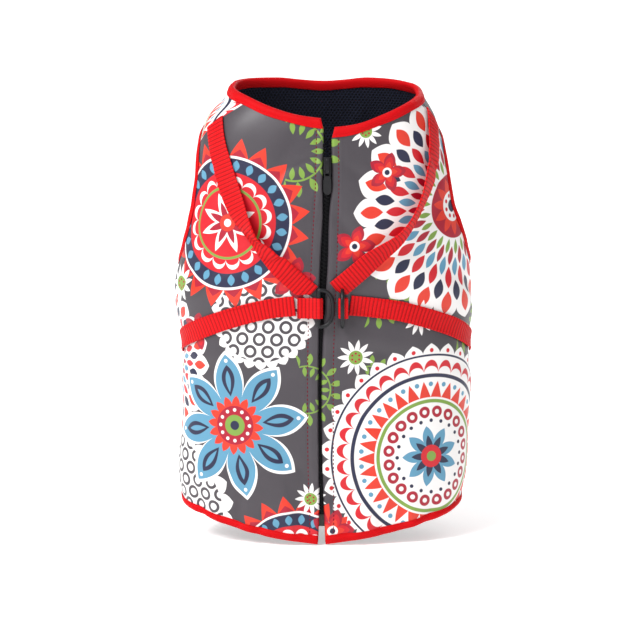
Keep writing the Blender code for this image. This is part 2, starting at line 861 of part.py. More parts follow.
def loop_path(side, tail):
    """Middle line of a webbing loop round the bar, as reach and outward."""
    radius = RING_WIRE + LOOP_CLEAR + WEBBING_THICK / 2.0
    points = [(-side * tail, -radius)]
    if tail > radius * 3.0:
        points.append((-side * tail / 2.0, -radius))
    for k in range(LOOP_WRAP_STEPS + 1):
        angle = between(-pi / 2.0, pi / 2.0, k / LOOP_WRAP_STEPS)
        points.append((side * radius * cos(angle), radius * sin(angle)))
    if tail < SHORT_TAIL:
        points.append((-side * tail * 0.6, radius * 0.97))
        points.append((-side * tail, radius * 0.8))
        return points
    floor = -radius + WEBBING_THICK + LOOP_CLEAR
    points.append((-side * LOOP_TAPER * 0.35, between(radius, floor, 0.34)))
    points.append((-side * LOOP_TAPER * 0.7, between(radius, floor, 0.84)))
    points.append((-side * LOOP_TAPER, floor))
    points.append((-side * tail, floor))
    return points


def loop_mesh(origin, reach_way, out_way, bar_way, side, tail):
    """Webbing folded round a ring's bar."""
    path = [Vector(point) for point in loop_path(side, tail)]
    half = WEBBING_WIDTH / 2.0
    stations = []
    for k, here in enumerate(path):
        before = path[max(k - 1, 0)]
        after = path[min(k + 1, len(path) - 1)]
        run = (after - before).normalized()
        aside = Vector((run.y, -run.x)) * (WEBBING_THICK / 2.0)
        ring = []
        for across, height in ((1.0, -half), (1.0, half), (-1.0, half), (-1.0, -half)):
            flat = here + aside * across
            ring.append(origin + reach_way * flat.x + out_way * flat.y + bar_way * height)
        stations.append(ring)
    return swept_mesh(stations, False)


def strap_end_x(table):
    """How far from the zip a girth strap starts."""
    return table[0].s * GIRTH_SCALE * STRAP_END_RUN


def build_rings(metal, webbing):
    left = ring_frame(LEFT_RING_X, RING_LEAN)
    right = ring_frame(RIGHT_RING_X, -RING_LEAN)
    left_tail = strap_end_x(GIRTH_STRAP_LEFT) + LEFT_RING_X - LEFT_TAIL_GAP
    right_tail = strap_end_x(GIRTH_STRAP_RIGHT) - RIGHT_RING_X - RIGHT_TAIL_GAP
    finish("loop_left", loop_mesh(*left, 1.0, left_tail), webbing)
    finish("loop_right", loop_mesh(*right, -1.0, right_tail), webbing)
    ring = finish("ring_left", ring_mesh(*left), metal)
    place_on_axis(ring, left[0])
    origin, reach, out, bar = right
    ring = finish("ring_right", ring_mesh(origin, out, reach, bar), metal)
    place_on_axis(ring, origin)


def place_on_axis(piece, origin):
    """Move a piece's origin onto its joint's axis, its shape staying put."""
    for vert in piece.data.vertices:
        vert.co -= origin * MM
    piece.location = origin * MM


# ---------------------------------------------------------------- zip

TAPE_ROWS_LOW = 24
TAPE_ROWS_TOP = 3
TAPE_GAP = 0.55
TAPE_STEP = 1.25
TAPE_STEP_HALF = 0.35
TAPE_BELOW_NECK = 9.2
CHAIN_ROWS = 26
CHAIN_GAP = 0.5
OPEN_ROWS = 5
OPEN_BELOW_TAPE = 1.4
OPEN_TEETH_NEAR = 1.3
OPEN_TEETH_FAR = 3.9
SLIDER_WIDE = 4.4
SLIDER_NECK = 2.6
SLIDER_IN = -4.3
SLIDER_SHOULDER = -1.1
SLIDER_OUT = 1.7
SLIDER_BEVEL = 0.6
BOX_RISE = 0.4
BRIDGE_HALF = 1.2
BRIDGE_GAP = 1.9
BRIDGE_THICK = 1.1
BRIDGE_POST = 1.1
BRIDGE_INSET = 0.7
BRIDGE_ROOT = 0.4
PULL_WIRE = 0.6
PULL_HALF = 2.5
PULL_EYE = 4.4
PULL_LENGTH = 19.0
PULL_THICK = 1.3
PULL_PLAY = 0.35
PULL_CLEAR = 0.45
PULL_ROUND = 4.0
PULL_FLARE = 0.5


def tape_inner(z):
    """Where a tape's inner edge lies: clear of the teeth, and of the slider."""
    if z > SLIDER_TOP + TAPE_STEP:
        return OPEN_TEETH_FAR + GAP
    if z > SLIDER_FOOT - TAPE_STEP:
        return SLIDER_WIDE + TAPE_GAP
    return CHAIN_HALF + TAPE_GAP


def ribbon_mesh(z_values, inner_at, outer_at, low, high, side):
    """Wall along the zip between two distances from its middle."""
    stations = []
    for z in z_values:
        near = side * inner_at(z) / GIRTH_SCALE
        far = side * outer_at(z) / GIRTH_SCALE
        ring = [
            cloth_point((near, z), low),
            cloth_point((far, z), low),
            cloth_point((far, z), high),
            cloth_point((near, z), high),
        ]
        stations.append(ring)
    return swept_mesh(stations, False)


def tape_top(side):
    return neck_height(side * NEAR_ZIP) - TAPE_BELOW_NECK


def tape_heights(side):
    """Heights along a tape, with a pair at each step in its inner edge."""
    near = TAPE_STEP - TAPE_STEP_HALF
    far = TAPE_STEP + TAPE_STEP_HALF
    values = spread(BOX_FOOT + TAPE_GAP, SLIDER_FOOT - far, TAPE_ROWS_LOW)
    values += spread(SLIDER_FOOT - near, SLIDER_TOP + near, 1)
    values += spread(SLIDER_TOP + far, tape_top(side), TAPE_ROWS_TOP)
    return values


def join_to(piece, guide):
    """Join a guide's volume onto a piece and leave the guide out."""
    modifier = piece.modifiers.new("join_" + guide.name, "BOOLEAN")
    modifier.operation = "UNION"
    modifier.solver = "EXACT"
    modifier.object = guide
    guide.hide_render = True
    guide.display_type = "WIRE"


def extruded_mesh(outline, half, place):
    """Outline of two coordinates, extruded both ways from its plane."""
    stations = []
    for offset in (-half, half):
        stations.append([place(a, b, offset) for a, b in outline])
    return swept_mesh(stations, False)


def build_slider(metal):
    """Slider in the slit, with the bridge that holds its pull."""
    middle = (SLIDER_TOP + SLIDER_FOOT) / 2.0
    half = (SLIDER_TOP - SLIDER_FOOT) / 2.0
    base = cloth_point((0.0, middle), 0.0)
    up = cloth_frame(0.0, middle)[1].normalized()
    out = cloth_frame(0.0, middle)[2]
    aside = up.cross(out).normalized()

    def place(across, height, along):
        return base + aside * across + out * height + up * along

    body = [
        (-SLIDER_WIDE, SLIDER_IN),
        (SLIDER_WIDE, SLIDER_IN),
        (SLIDER_WIDE, SLIDER_SHOULDER),
        (SLIDER_NECK, SLIDER_SHOULDER),
        (SLIDER_NECK, SLIDER_OUT - SLIDER_BEVEL),
        (SLIDER_NECK - SLIDER_BEVEL, SLIDER_OUT),
        (SLIDER_BEVEL - SLIDER_NECK, SLIDER_OUT),
        (-SLIDER_NECK, SLIDER_OUT - SLIDER_BEVEL),
        (-SLIDER_NECK, SLIDER_SHOULDER),
        (-SLIDER_WIDE, SLIDER_SHOULDER),
    ]
    slider = finish("zip_slider", extruded_mesh(body, half, place), metal, smooth_faces=False)
    foot = SLIDER_OUT - BRIDGE_ROOT
    under = SLIDER_OUT + BRIDGE_GAP
    top = under + BRIDGE_THICK
    span = half - BRIDGE_INSET
    post = BRIDGE_POST
    arch = [
        (-span, foot),
        (-span + post, foot),
        (-span + post, under),
        (span - post - 1.2, under),
        (span - post, under - 0.9),
        (span - post, foot),
        (span, foot),
        (span, under - 0.2),
        (span - 1.6, top),
        (-span + 0.9, top),
        (-span, top - 0.8),
    ]
    bridge = extruded_mesh(arch, BRIDGE_HALF, lambda along, height, across: place(across, height, along))
    join_to(slider, finish("bridge_guide", bridge, metal, smooth_faces=False))
    pivot = place(0.0, SLIDER_OUT + BRIDGE_GAP / 2.0, -span + post + PULL_WIRE + PULL_PLAY)
    return pivot, aside


def pull_direction(pivot):
    """The way the pull hangs: down, its tip just clear of the cloth."""
    tip_z = pivot.z - PULL_LENGTH
    cloth = cloth_point((0.0, tip_z + PULL_ROUND), CLOTH_OUT)
    clear = cloth.y - PULL_THICK / 2.0 - PULL_CLEAR
    return Vector((0.0, min(clear - pivot.y, 0.0), PULL_ROUND - PULL_LENGTH)).normalized()


def build_pull(metal, pivot, aside):
    """Pull tab: an eye round the bridge and a rounded grip."""
    down = pull_direction(pivot)
    out = aside.cross(down).normalized()
    if out.y > 0.0:
        out = -out
    half = PULL_THICK / 2.0

    def place(across, along, height):
        return pivot + aside * across + down * along + out * height

    start = -PULL_WIRE
    grip = [
        (-PULL_HALF, start),
        (PULL_HALF, start),
        (PULL_HALF, PULL_EYE + 1.5),
        (PULL_HALF + PULL_FLARE, PULL_EYE + 4.0),
        (PULL_HALF + PULL_FLARE, PULL_LENGTH - 3.2),
        (PULL_HALF - 0.6, PULL_LENGTH - 1.3),
        (0.0, PULL_LENGTH - 0.6),
        (0.6 - PULL_HALF, PULL_LENGTH - 1.3),
        (-PULL_HALF - PULL_FLARE, PULL_LENGTH - 3.2),
        (-PULL_HALF - PULL_FLARE, PULL_EYE + 4.0),
        (-PULL_HALF, PULL_EYE + 1.5),
    ]
    eye = [
        (BRIDGE_HALF + PULL_PLAY, PULL_WIRE),
        (BRIDGE_HALF + PULL_PLAY, PULL_EYE),
        (-BRIDGE_HALF - PULL_PLAY, PULL_EYE),
        (-BRIDGE_HALF - PULL_PLAY, PULL_WIRE),
    ]
    mesh = bmesh.new()
    levels = []
    for height in (-half, half):
        outer = [mesh.verts.new(place(a, b, height) * MM) for a, b in grip]
        inner = [mesh.verts.new(place(a, b, height) * MM) for a, b in eye]
        levels.append((outer, inner))
    for outer, inner in levels:
        mesh.faces.new([outer[0], outer[1], inner[0], inner[3]])
        mesh.faces.new([outer[1], outer[2], inner[1], inner[0]])
        mesh.faces.new([outer[2], outer[10], inner[2], inner[1]])
        mesh.faces.new([outer[10], outer[0], inner[3], inner[2]])
        mesh.faces.new(outer[2:11])
    for k in range(11):
        m = (k + 1) % 11
        mesh.faces.new([levels[0][0][k], levels[0][0][m], levels[1][0][m], levels[1][0][k]])
    for k in range(4):
        m = (k + 1) % 4
        mesh.faces.new([levels[0][1][k], levels[1][1][k], levels[1][1][m], levels[0][1][m]])
    pull = finish("zip_pull", mesh, metal, smooth_faces=False)
    place_on_axis(pull, pivot)


def build_zip(tape, teeth, metal):
    for side, name in ((1.0, "right"), (-1.0, "left")):
        heights = tape_heights(side)
        mesh = ribbon_mesh(heights, tape_inner, lambda z: TAPE_EDGE, TAPE_IN, TAPE_OUT, side)
        finish("zip_tape_" + name, mesh, tape)
        rows = spread(SLIDER_TOP + CHAIN_GAP, tape_top(side) - OPEN_BELOW_TAPE, OPEN_ROWS)
        near, far = OPEN_TEETH_NEAR, OPEN_TEETH_FAR
        mesh = ribbon_mesh(rows, lambda z: near, lambda z: far, TEETH_IN, TAPE_OUT, side)
        finish("zip_teeth_" + name, mesh, teeth)
    chain = spread(BOX_TOP + TAPE_GAP, SLIDER_FOOT - CHAIN_GAP, CHAIN_ROWS)
    mesh = ribbon_mesh(chain, lambda z: -CHAIN_HALF, lambda z: CHAIN_HALF, TEETH_IN, TAPE_OUT, 1.0)
    finish("zip_chain", mesh, teeth)
    box = spread(BOX_FOOT, BOX_TOP, 1)
    low, high = TEETH_IN - BOX_RISE, TAPE_OUT + BOX_RISE
    mesh = ribbon_mesh(box, lambda z: -CHAIN_HALF, lambda z: CHAIN_HALF, low, high, 1.0)
    finish("zip_box", mesh, metal, smooth_faces=False)
    pivot, aside = build_slider(metal)
    build_pull(metal, pivot, aside)


def main():
    for item in list(bpy.data.objects):
        bpy.data.objects.remove(item, do_unlink=True)
    cloth = make_material("printed_cloth", (0.09, 0.085, 0.1), 0.62)
    mesh_cloth = make_material("air_mesh", (0.012, 0.014, 0.03), 0.85)
    red_tape = make_material("binding_tape", (0.78, 0.012, 0.02), 0.6)
    webbing = make_material("webbing", (0.72, 0.012, 0.02), 0.55)
    zip_tape = make_material("zip_tape", (0.015, 0.015, 0.017), 0.75)
    zip_teeth = make_material("zip_teeth", (0.02, 0.02, 0.022), 0.45)
    black_metal = make_material("black_metal", (0.025, 0.028, 0.028), 0.3, 0.9)
    build_panels(cloth, mesh_cloth)
    build_bindings(red_tape)
    build_straps(webbing)
    build_rings(black_metal, webbing)
    build_zip(zip_tape, zip_teeth, black_metal)


main()
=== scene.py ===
"""Looks of a zip-up dog vest with a webbing harness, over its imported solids.

Cloth lies on one body surface. A place on it is (s, z): s runs from 0 at the
zip to +1 or -1 at the middle of the chest, +X on the positive side, and z is
the height in millimetres over the middle of the neck opening. Lengths here are
in millimetres and become metres when a mesh is made.
"""

import json
from collections import namedtuple
from math import cos, pi, radians, sin, tau

import bmesh
import bpy
import numpy as np
from mathutils import Matrix, Vector


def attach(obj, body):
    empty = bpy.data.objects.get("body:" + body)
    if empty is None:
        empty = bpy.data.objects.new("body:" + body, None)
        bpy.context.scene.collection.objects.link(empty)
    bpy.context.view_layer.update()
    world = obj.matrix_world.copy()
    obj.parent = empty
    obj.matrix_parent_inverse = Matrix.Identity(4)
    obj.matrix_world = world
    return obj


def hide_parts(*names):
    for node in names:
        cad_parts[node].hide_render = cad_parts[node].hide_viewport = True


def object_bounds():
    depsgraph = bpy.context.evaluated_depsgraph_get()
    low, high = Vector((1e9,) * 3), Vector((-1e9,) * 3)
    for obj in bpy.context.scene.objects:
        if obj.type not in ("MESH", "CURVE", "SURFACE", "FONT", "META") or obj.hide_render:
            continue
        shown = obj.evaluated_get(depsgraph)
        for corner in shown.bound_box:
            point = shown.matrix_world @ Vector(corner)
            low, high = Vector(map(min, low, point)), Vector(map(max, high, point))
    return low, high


bl_info = {
    "name": "Dog vest",
    "version": (1, 0, 0),
    "blender": (4, 5, 0),
    "location": "3D View > Sidebar > Dog vest",
    "description": "Builds a lined, bound dog vest with a harness, over its solids",
    "category": "Object",
}

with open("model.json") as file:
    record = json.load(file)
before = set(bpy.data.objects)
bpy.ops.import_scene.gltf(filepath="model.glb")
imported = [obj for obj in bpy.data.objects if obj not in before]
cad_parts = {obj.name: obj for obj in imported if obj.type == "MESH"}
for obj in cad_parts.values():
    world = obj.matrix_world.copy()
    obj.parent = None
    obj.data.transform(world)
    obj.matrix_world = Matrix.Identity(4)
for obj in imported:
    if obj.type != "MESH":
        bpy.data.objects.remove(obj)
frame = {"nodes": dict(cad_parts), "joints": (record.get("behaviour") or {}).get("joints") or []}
SOLID_BOX = [list(corner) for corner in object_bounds()]
MM = 0.001

# ------------------------------------------------------------ sizes and tables


def rows_of(kind, *rows):
    return [kind(*map(float, row)) for row in rows]


SIDES = ((1.0, "right"), (-1.0, "left"))
CLOTH_OUT = 0.6
LINING_MIDDLE = -1.5
GIRTH_SCALE = 262.0
SECTION_POWER = 2.35
SIDE_SEAM = 0.515

Section = namedtuple("Section", "z left right front back zip_x")
SECTIONS = rows_of(
    Section,
    (-330, 99, 96.5, 57, 58, -1), (-303, 101.5, 100.8, 58.5, 61, -1),
    (-276, 107, 107.3, 59.8, 63.5, -1.6), (-230, 105, 110.5, 61, 66.5, -2.2),
    (-186, 104.6, 109.6, 61.6, 70, -2), (-140, 110.4, 111, 61.2, 73, -0.4),
    (-118, 105.8, 108.4, 60.6, 72.5, 0.6), (-98, 102.6, 105.6, 60, 70.5, 1.4),
    (-76, 98.6, 98.3, 59.3, 66.5, 2.4), (-60, 96.2, 95.4, 58.8, 62.5, 3),
    (-38, 92.6, 90, 57.2, 55.5, 3.2), (-23, 88.8, 85.6, 55.4, 49.5, 3.3),
    (-12, 84, 82, 53, 45, 3.4), (0, 73.5, 75.2, 49.5, 41, 3.4), (10, 67, 68.3, 46, 38.5, 3.4),
)

NeckHeight = namedtuple("NeckHeight", "s left right")
NECK_EDGE = rows_of(
    NeckHeight,
    (0, -10.9, -17.3), (0.1, -8.1, -14.5), (0.2, -2.6, -7.8), (0.32, 4.7, -0.2), (0.45, 9.4, 5.8),
    (0.6, 12.4, 10.4), (0.8, 12.6, 12.6), (0.9, 10.9, 10.9), (0.96, 10, 10), (1, 9.85, 9.85),
)
EdgeHeight = namedtuple("EdgeHeight", "s z")
HEM_EDGE = rows_of(
    EdgeHeight,
    (0, -326.4), (0.12, -322.2), (0.22, -317.4), (0.31, -311.6), (0.4, -305.4), (0.5, -299.6),
    (0.7, -291.6), (0.86, -288.2), (0.95, -286.8), (1, -286.65),
)
SlitWidth = namedtuple("SlitWidth", "z half")
SLIT = rows_of(
    SlitWidth,
    (-326, 3), (-308, 2.3), (-280, 1.6), (-190, 1.4), (-150, 2), (-115, 2.8), (-84, 2.5),
    (-60, 3.5), (-20, 3.7),
)
NEAR_ZIP = 0.03
NECK_SPREAD = 6.0
NECK_BINDING = 7.2
HEM_BINDING = 6.4
ARMHOLE_BINDING = 7.2
ARMHOLE_GAP = 0.5
GAP = 0.3
TUCK = 1.4
ARM_S = 0.61
ARM_Z = -73.0
ARM_HALF_S = 0.17
ARM_HALF_Z = 49.0
ARM_POWER = 2.6
ARM_TOP_SHARE = 0.85
ARM_LOWER_FRONT = radians(242.0)
ARM_LOWER_BACK = radians(315.0)
ARM_UPPER_BACK = radians(45.0)
ARM_UPPER_FRONT = radians(135.0)
LEFT_SEAM_TOP = 0.314
RIGHT_SEAM_TOP = 0.398

StrapPoint = namedtuple("StrapPoint", "s z")
SHOULDER_STRAP_LEFT = rows_of(
    StrapPoint,
    (0.43, -2), (0.37, -19.5), (0.323, -40.5), (0.282, -61), (0.24, -80.5), (0.19, -97.7),
    (0.135, -113.8), (0.085, -126), (0.03, -139),
)
SHOULDER_STRAP_RIGHT = rows_of(
    StrapPoint,
    (0.455, -3), (0.395, -19.5), (0.35, -39), (0.303, -58.5), (0.256, -79), (0.203, -97),
    (0.14, -110.5), (0.09, -122.5), (0.035, -136),
)
GIRTH_STRAP_LEFT = rows_of(
    StrapPoint,
    (0.0705, -147.6), (0.15, -150.8), (0.25, -158.6), (0.38, -171.6), (0.47, -180.4),
    (0.515, -184),
)
GIRTH_STRAP_RIGHT = rows_of(
    StrapPoint,
    (0.0715, -147.2), (0.14, -149.4), (0.215, -153.2), (0.34, -164.4), (0.46, -178.6),
    (0.515, -183.4),
)
Roll = namedtuple("Roll", "angle share spread")
LEFT_STRAP_ROLL = Roll(52.0, 0.63, 0.2)
RIGHT_STRAP_ROLL = Roll(56.0, 0.52, 0.31)

# Troughs have a positive depth and ridges a negative one. along and across are
# half a crease's length and width, lean is its turn from upright, and bow is
# how far its middle stands beside the line through its ends.
Crease = namedtuple("Crease", "s z along across lean depth bow", defaults=(0.0,))
MAIN_FOLDS = rows_of(
    Crease,
    (-0.27, -305, 34, 11, 8, 1.8), (-0.12, -300, 46, 15, -6, -1.4),
    (0.21, -302, 38, 12, -10, 1.9), (0.35, -294, 44, 14, 6, -1.5), (-0.42, -290, 48, 14, 4, -1.4),
    (0.52, -288, 46, 13, -5, 1.6), (-0.6, -284, 46, 13, 7, 1.7), (0.74, -276, 50, 15, 8, -1.6),
    (-0.82, -278, 46, 13, -7, 1.6), (0.95, -272, 44, 13, 3, 1.7), (-0.33, -126, 30, 11, 62, 1.5),
    (0.4, -131, 32, 11, -58, 1.7), (-0.16, -208, 40, 12, 68, 1.1), (0.3, -214, 42, 13, -72, 1.2),
    (0.86, -60, 34, 12, -38, 1.6), (-0.9, -66, 36, 12, 42, 1.5), (0.8, -150, 40, 13, 66, 1.5),
    (-0.76, -156, 38, 12, -64, 1.6),
)
FINE_CREASES = rows_of(
    Crease,
    (-0.235, -300, 20, 4.4, 14, 0.75, 2), (-0.305, -296, 26, 5.2, -5, -0.6, 1),
    (0.165, -306, 17, 4, -18, 0.7, -1.5), (0.255, -298, 24, 4.8, -3, -0.55, 1.5),
    (0.07, -236, 24, 5, 40, 0.45, 2.5), (-0.09, -262, 20, 4.5, -52, 0.5, -2),
    (0.06, -92, 22, 5, -34, 0.6, 2), (-0.075, -74, 18, 4.6, 48, 0.5, 1.5),
    (-0.11, -112, 20, 5.2, 66, 0.55, -2), (0.13, -58, 22, 5, -60, 0.5, 2),
    (-0.15, -184, 26, 5, 76, 0.6, 2), (0.17, -183, 28, 5.4, -80, 0.65, -2.5),
    (-0.38, -196, 24, 5, 82, 0.55, 2), (0.43, -199, 26, 5.6, -74, 0.6, 1.5),
    (-0.42, -140, 18, 4.4, 44, 0.75, -2), (0.46, -142, 20, 4.8, -46, 0.8, 2),
    (-0.37, -62, 20, 4.6, 22, 0.6, 1.5), (0.35, -52, 18, 4.4, -28, 0.6, -1.5),
    (0.53, -238, 28, 5.6, 58, 0.6, 3), (-0.54, -228, 26, 5.2, -62, 0.65, -2.5),
    (0.68, -178, 26, 5, 74, 0.7, 2), (-0.7, -190, 28, 5.4, -70, 0.7, 2),
    (0.83, -112, 20, 4.8, -52, 0.75, 1.5), (-0.84, -118, 22, 5, 56, 0.7, -1.5),
    (0.96, -206, 26, 5.6, 84, 0.6, 2), (-0.9, -232, 24, 5, -78, 0.6, 2.5),
    (1, -34, 22, 5, 86, 0.6, 2), (0.9, -24, 18, 4.6, -48, 0.55, 1),
    (-0.93, -150, 20, 4.8, 34, 0.5, 2), (0.72, -252, 22, 5, 8, 0.65, -2),
    (-0.68, -262, 24, 5.2, -4, 0.6, 1.5), (-0.055, -292, 26, 4.6, 13, 0.85, 2),
    (-0.095, -304, 20, 4.2, -10, -0.7, 1.5), (0.06, -298, 24, 4.8, -14, 0.9, -2),
    (0.1, -288, 22, 4.4, 20, 0.7, 1.5), (-0.17, -312, 16, 4, 24, 0.8, -1.5),
    (-0.36, -304, 20, 4.6, -16, 0.9, 1.5), (0.31, -306, 18, 4.4, 18, 0.85, -1.5),
    (-0.06, -40, 18, 4.8, 70, 0.7, 2), (-0.14, -52, 20, 5, 30, 0.6, -2),
    (-0.21, -96, 22, 5.2, -62, 0.6, 2), (0.16, -236, 26, 5.4, -70, 0.7, 2),
    (-0.19, -270, 24, 5.2, 66, 0.7, -2), (0.3, -92, 20, 5, 36, 0.45, 2),
    (-0.27, -96, 20, 5, -40, 0.45, 2),
)
FINE_SHARE = 2.1
CINCH_DEPTH = 1.6
CINCH_HALF = 13.0
CINCH_RISE = 0.7
CINCH_RISE_AT = 2.1
CINCH_START = 0.12
CINCH_END = 0.66
CINCH_FADE = 0.14
HEM_FLARE = 2.0
HEM_FLARE_REACH = 34.0
LONG_RIPPLE = 0.16
SHORT_RIPPLE = 0.1

RING_WIRE = 1.5
RING_HALF = 13.5
RING_REACH = 10.5
RING_LEAN = radians(2.0)
LEFT_RING_X = -3.2
RIGHT_RING_X = 14.2
# Millimetres of cloth round the zip in one of GIRTH_SCALE's
ZIP_STRETCH = 1.06


# ------------------------------------------------------------ the body surface


def curve(x, places, values):
    """Smooth curve through a table whose places rise, level past its ends."""
    x = np.clip(x, places[0], places[-1])
    k = np.arange(len(places))
    low = np.maximum(k - 1, 0)
    high = np.minimum(k + 1, len(places) - 1)
    slopes = (values[high] - values[low]) / (places[high] - places[low])
    i = np.clip(np.searchsorted(places, x) - 1, 0, len(places) - 2)
    step = places[i + 1] - places[i]
    t = (x - places[i]) / step
    start = (1.0 + 2.0 * t) * (1.0 - t) ** 2 * values[i]
    end = t * t * (3.0 - 2.0 * t) * values[i + 1]
    leave = t * (1.0 - t) ** 2 * step * slopes[i]
    arrive = t * t * (t - 1.0) * step * slopes[i + 1]
    return start + end + leave + arrive


def column(table, name):
    return np.array([getattr(row, name) for row in table])


def read(table, x, key, name):
    """A table's column, read smoothly at x."""
    return curve(np.asarray(x, float), column(table, key), column(table, name))


def wrapped(s):
    return (s + 1.0) % 2.0 - 1.0


def between(a, b, t):
    return a + (b - a) * t


def bell(x):
    return np.exp(-x * x)


def bent(x, power):
    """x to a power, with its sign kept."""
    return np.sign(x) * np.abs(x) ** power


def neck_height(s):
    s = wrapped(np.asarray(s, float))
    right, left = (read(NECK_EDGE, np.abs(s), "s", name) for name in ("right", "left"))
    return np.where(s >= 0.0, right, left)


def hem_height(s):
    return read(HEM_EDGE, np.abs(wrapped(s)), "s", "z")


def slit_half(z):
    return read(SLIT, z, "z", "half")


def armhole(angle, inset):
    """Place on an armhole's edge, or that far into the cloth round it."""
    across, upright = (bent(way(angle), 2.0 / ARM_POWER) for way in (np.cos, np.sin))
    rise = inset * np.where(upright > 0.0, ARM_TOP_SHARE, 1.0)
    half_s = ARM_HALF_S + inset / GIRTH_SCALE
    return ARM_S + half_s * across, ARM_Z + (ARM_HALF_Z + rise) * upright


def seam_at(z, side):
    """s of a shoulder seam at a height."""
    s_low, z_low = armhole(ARM_UPPER_FRONT, ARMHOLE_BINDING + ARMHOLE_GAP)
    s_top = RIGHT_SEAM_TOP if side > 0.0 else LEFT_SEAM_TOP
    z_top = neck_height(side * s_top) - NECK_BINDING - GAP
    return between(s_low, s_top, (z - z_low) / (z_top - z_low))


def seam_top(side):
    """Where a shoulder seam ends, tucked under the neck binding."""
    s = LEFT_SEAM_TOP
    for _ in range(12):
        s = seam_at(neck_height(side * s) - TUCK, side)
    return s, neck_height(side * s) - TUCK


def creased(table, s, z):
    out = np.zeros_like(s)
    for fold in table:
        du = wrapped(s - fold.s) * GIRTH_SCALE
        dz = z - fold.z
        along = (dz * cos(radians(fold.lean)) + du * sin(radians(fold.lean))) / fold.along
        across = du * cos(radians(fold.lean)) - dz * sin(radians(fold.lean))
        out -= fold.depth * bell(along) * bell((across - fold.bow * along**2) / fold.across)
    return out


def relief(s, z):
    """How far folds, the strap's pull and the hem's flare move the cloth out."""
    s = wrapped(s)
    out = creased(MAIN_FOLDS, s, z) + FINE_SHARE * creased(FINE_CREASES, s, z)
    reach = np.abs(s)
    fade = np.minimum(1.0, reach / CINCH_START)
    fade *= np.clip((CINCH_END - reach) / CINCH_FADE, 0.0, 1.0)
    right = read(GIRTH_STRAP_RIGHT, reach, "s", "z")
    left = read(GIRTH_STRAP_LEFT, reach, "s", "z")
    away = (z - np.where(s >= 0.0, right, left)) / CINCH_HALF
    beside = np.abs(away) - CINCH_RISE_AT
    out += fade * CINCH_DEPTH * (CINCH_RISE * bell(beside) - bell(away))
    out += HEM_FLARE * bell((z - hem_height(s)) / HEM_FLARE_REACH)
    u = s * GIRTH_SCALE
    long_ripple = np.sin(u / 9.1 + 1.3 * np.sin(z / 23.0)) * np.sin(z / 17.0 + u / 31.0)
    short_ripple = np.sin(u / 5.3 - z / 7.9 + np.sin(u / 19.0))
    return out + LONG_RIPPLE * long_ripple + SHORT_RIPPLE * short_ripple


ARC = np.linspace(0.0, pi / 2.0, 401)
ARC_ACROSS = np.sin(ARC) ** (2.0 / SECTION_POWER)
ARC_DEEP = np.cos(ARC) ** (2.0 / SECTION_POWER)


def body_row(s, z):
    """The plain body at one height."""
    left, right, front, back, zip_x = (
        float(read(SECTIONS, z, "z", name)) for name in Section._fields[1:]
    )
    s = wrapped(s)
    reach = np.abs(s)
    side = np.where(s >= 0.0, 1.0, -1.0)
    x = zip_x * np.cos(pi * reach) ** 2 * (reach <= 0.5)
    y = np.zeros_like(s)
    for half_width, which in ((right, side > 0.0), (left, side < 0.0)):
        for depth, way, near in ((front, -1.0, reach <= 0.5), (back, 1.0, reach > 0.5)):
            steps = np.hypot(np.diff(ARC_ACROSS) * half_width, np.diff(ARC_DEEP) * depth)
            run = np.concatenate(([0.0], np.cumsum(steps)))
            share = np.minimum(reach, 1.0 - reach) * 2.0 * run[-1]
            pick = which & near
            x[pick] += (side * np.interp(share, run, ARC_ACROSS) * half_width)[pick]
            y[pick] = (way * np.interp(share, run, ARC_DEEP) * depth)[pick]
    return np.stack([x, y, np.full_like(s, z)], -1)


class Surface:
    """The cloth's middle, worked out once on a fine net and then read from it."""

    S_LOW, S_STEP, S_COUNT = -1.02, 0.0025, 817
    Z_LOW, Z_STEP, Z_COUNT = -346.0, 0.5, 745

    def __init__(self):
        s = self.S_LOW + self.S_STEP * np.arange(self.S_COUNT)
        z = self.Z_LOW + self.Z_STEP * np.arange(self.Z_COUNT)
        plain = np.stack([body_row(s, height) for height in z])
        moved = relief(*np.meshgrid(s, z))
        self.point = plain + self.normals(plain) * moved[..., None]
        self.out = self.normals(self.point)
        self.per_s = np.linalg.norm(np.gradient(self.point, self.S_STEP, axis=1), axis=-1)
        self.per_z = np.linalg.norm(np.gradient(self.point, self.Z_STEP, axis=0), axis=-1)
        run = np.cumsum(self.per_s, axis=1) * self.S_STEP
        start = int(round(-self.S_LOW / self.S_STEP))
        self.run = run - run[:, start : start + 1]

    @staticmethod
    def normals(points):
        out = np.cross(np.gradient(points, axis=1), np.gradient(points, axis=0))
        return out / np.linalg.norm(out, axis=-1, keepdims=True)

    def field(self, values, s, z):
        a = (wrapped(np.asarray(s, float)) - self.S_LOW) / self.S_STEP
        b = (np.asarray(z, float) - self.Z_LOW) / self.Z_STEP
        i = np.clip(a.astype(int), 0, self.S_COUNT - 2)
        j = np.clip(b.astype(int), 0, self.Z_COUNT - 2)
        a, b = a - i, b - j
        if values.ndim == 3:
            a, b = a[..., None], b[..., None]
        low = between(values[j, i], values[j, i + 1], a)
        return between(low, between(values[j + 1, i], values[j + 1, i + 1], a), b)

    def at(self, s, z, height):
        """Points at a height over the cloth's middle."""
        out = self.field(self.out, s, z)
        return self.field(self.point, s, z) + out * np.asarray(height, float)[..., None]

    def chart(self, s, z):
        """Millimetres round from the zip, and up."""
        return self.field(self.run, s, z), z

    def chest_chart(self, s, z):
        """Millimetres round from the middle of the chest, and up."""
        s = wrapped(s)
        end = np.where(s > 0.0, 1.0 - 1e-6, -1.0)
        return self.field(self.run, s, z) - self.field(self.run, end, z), z


surface = Surface()


# ------------------------------------------------------------ mesh making


SHARP_ANGLE = radians(48.0)
finishes = {}


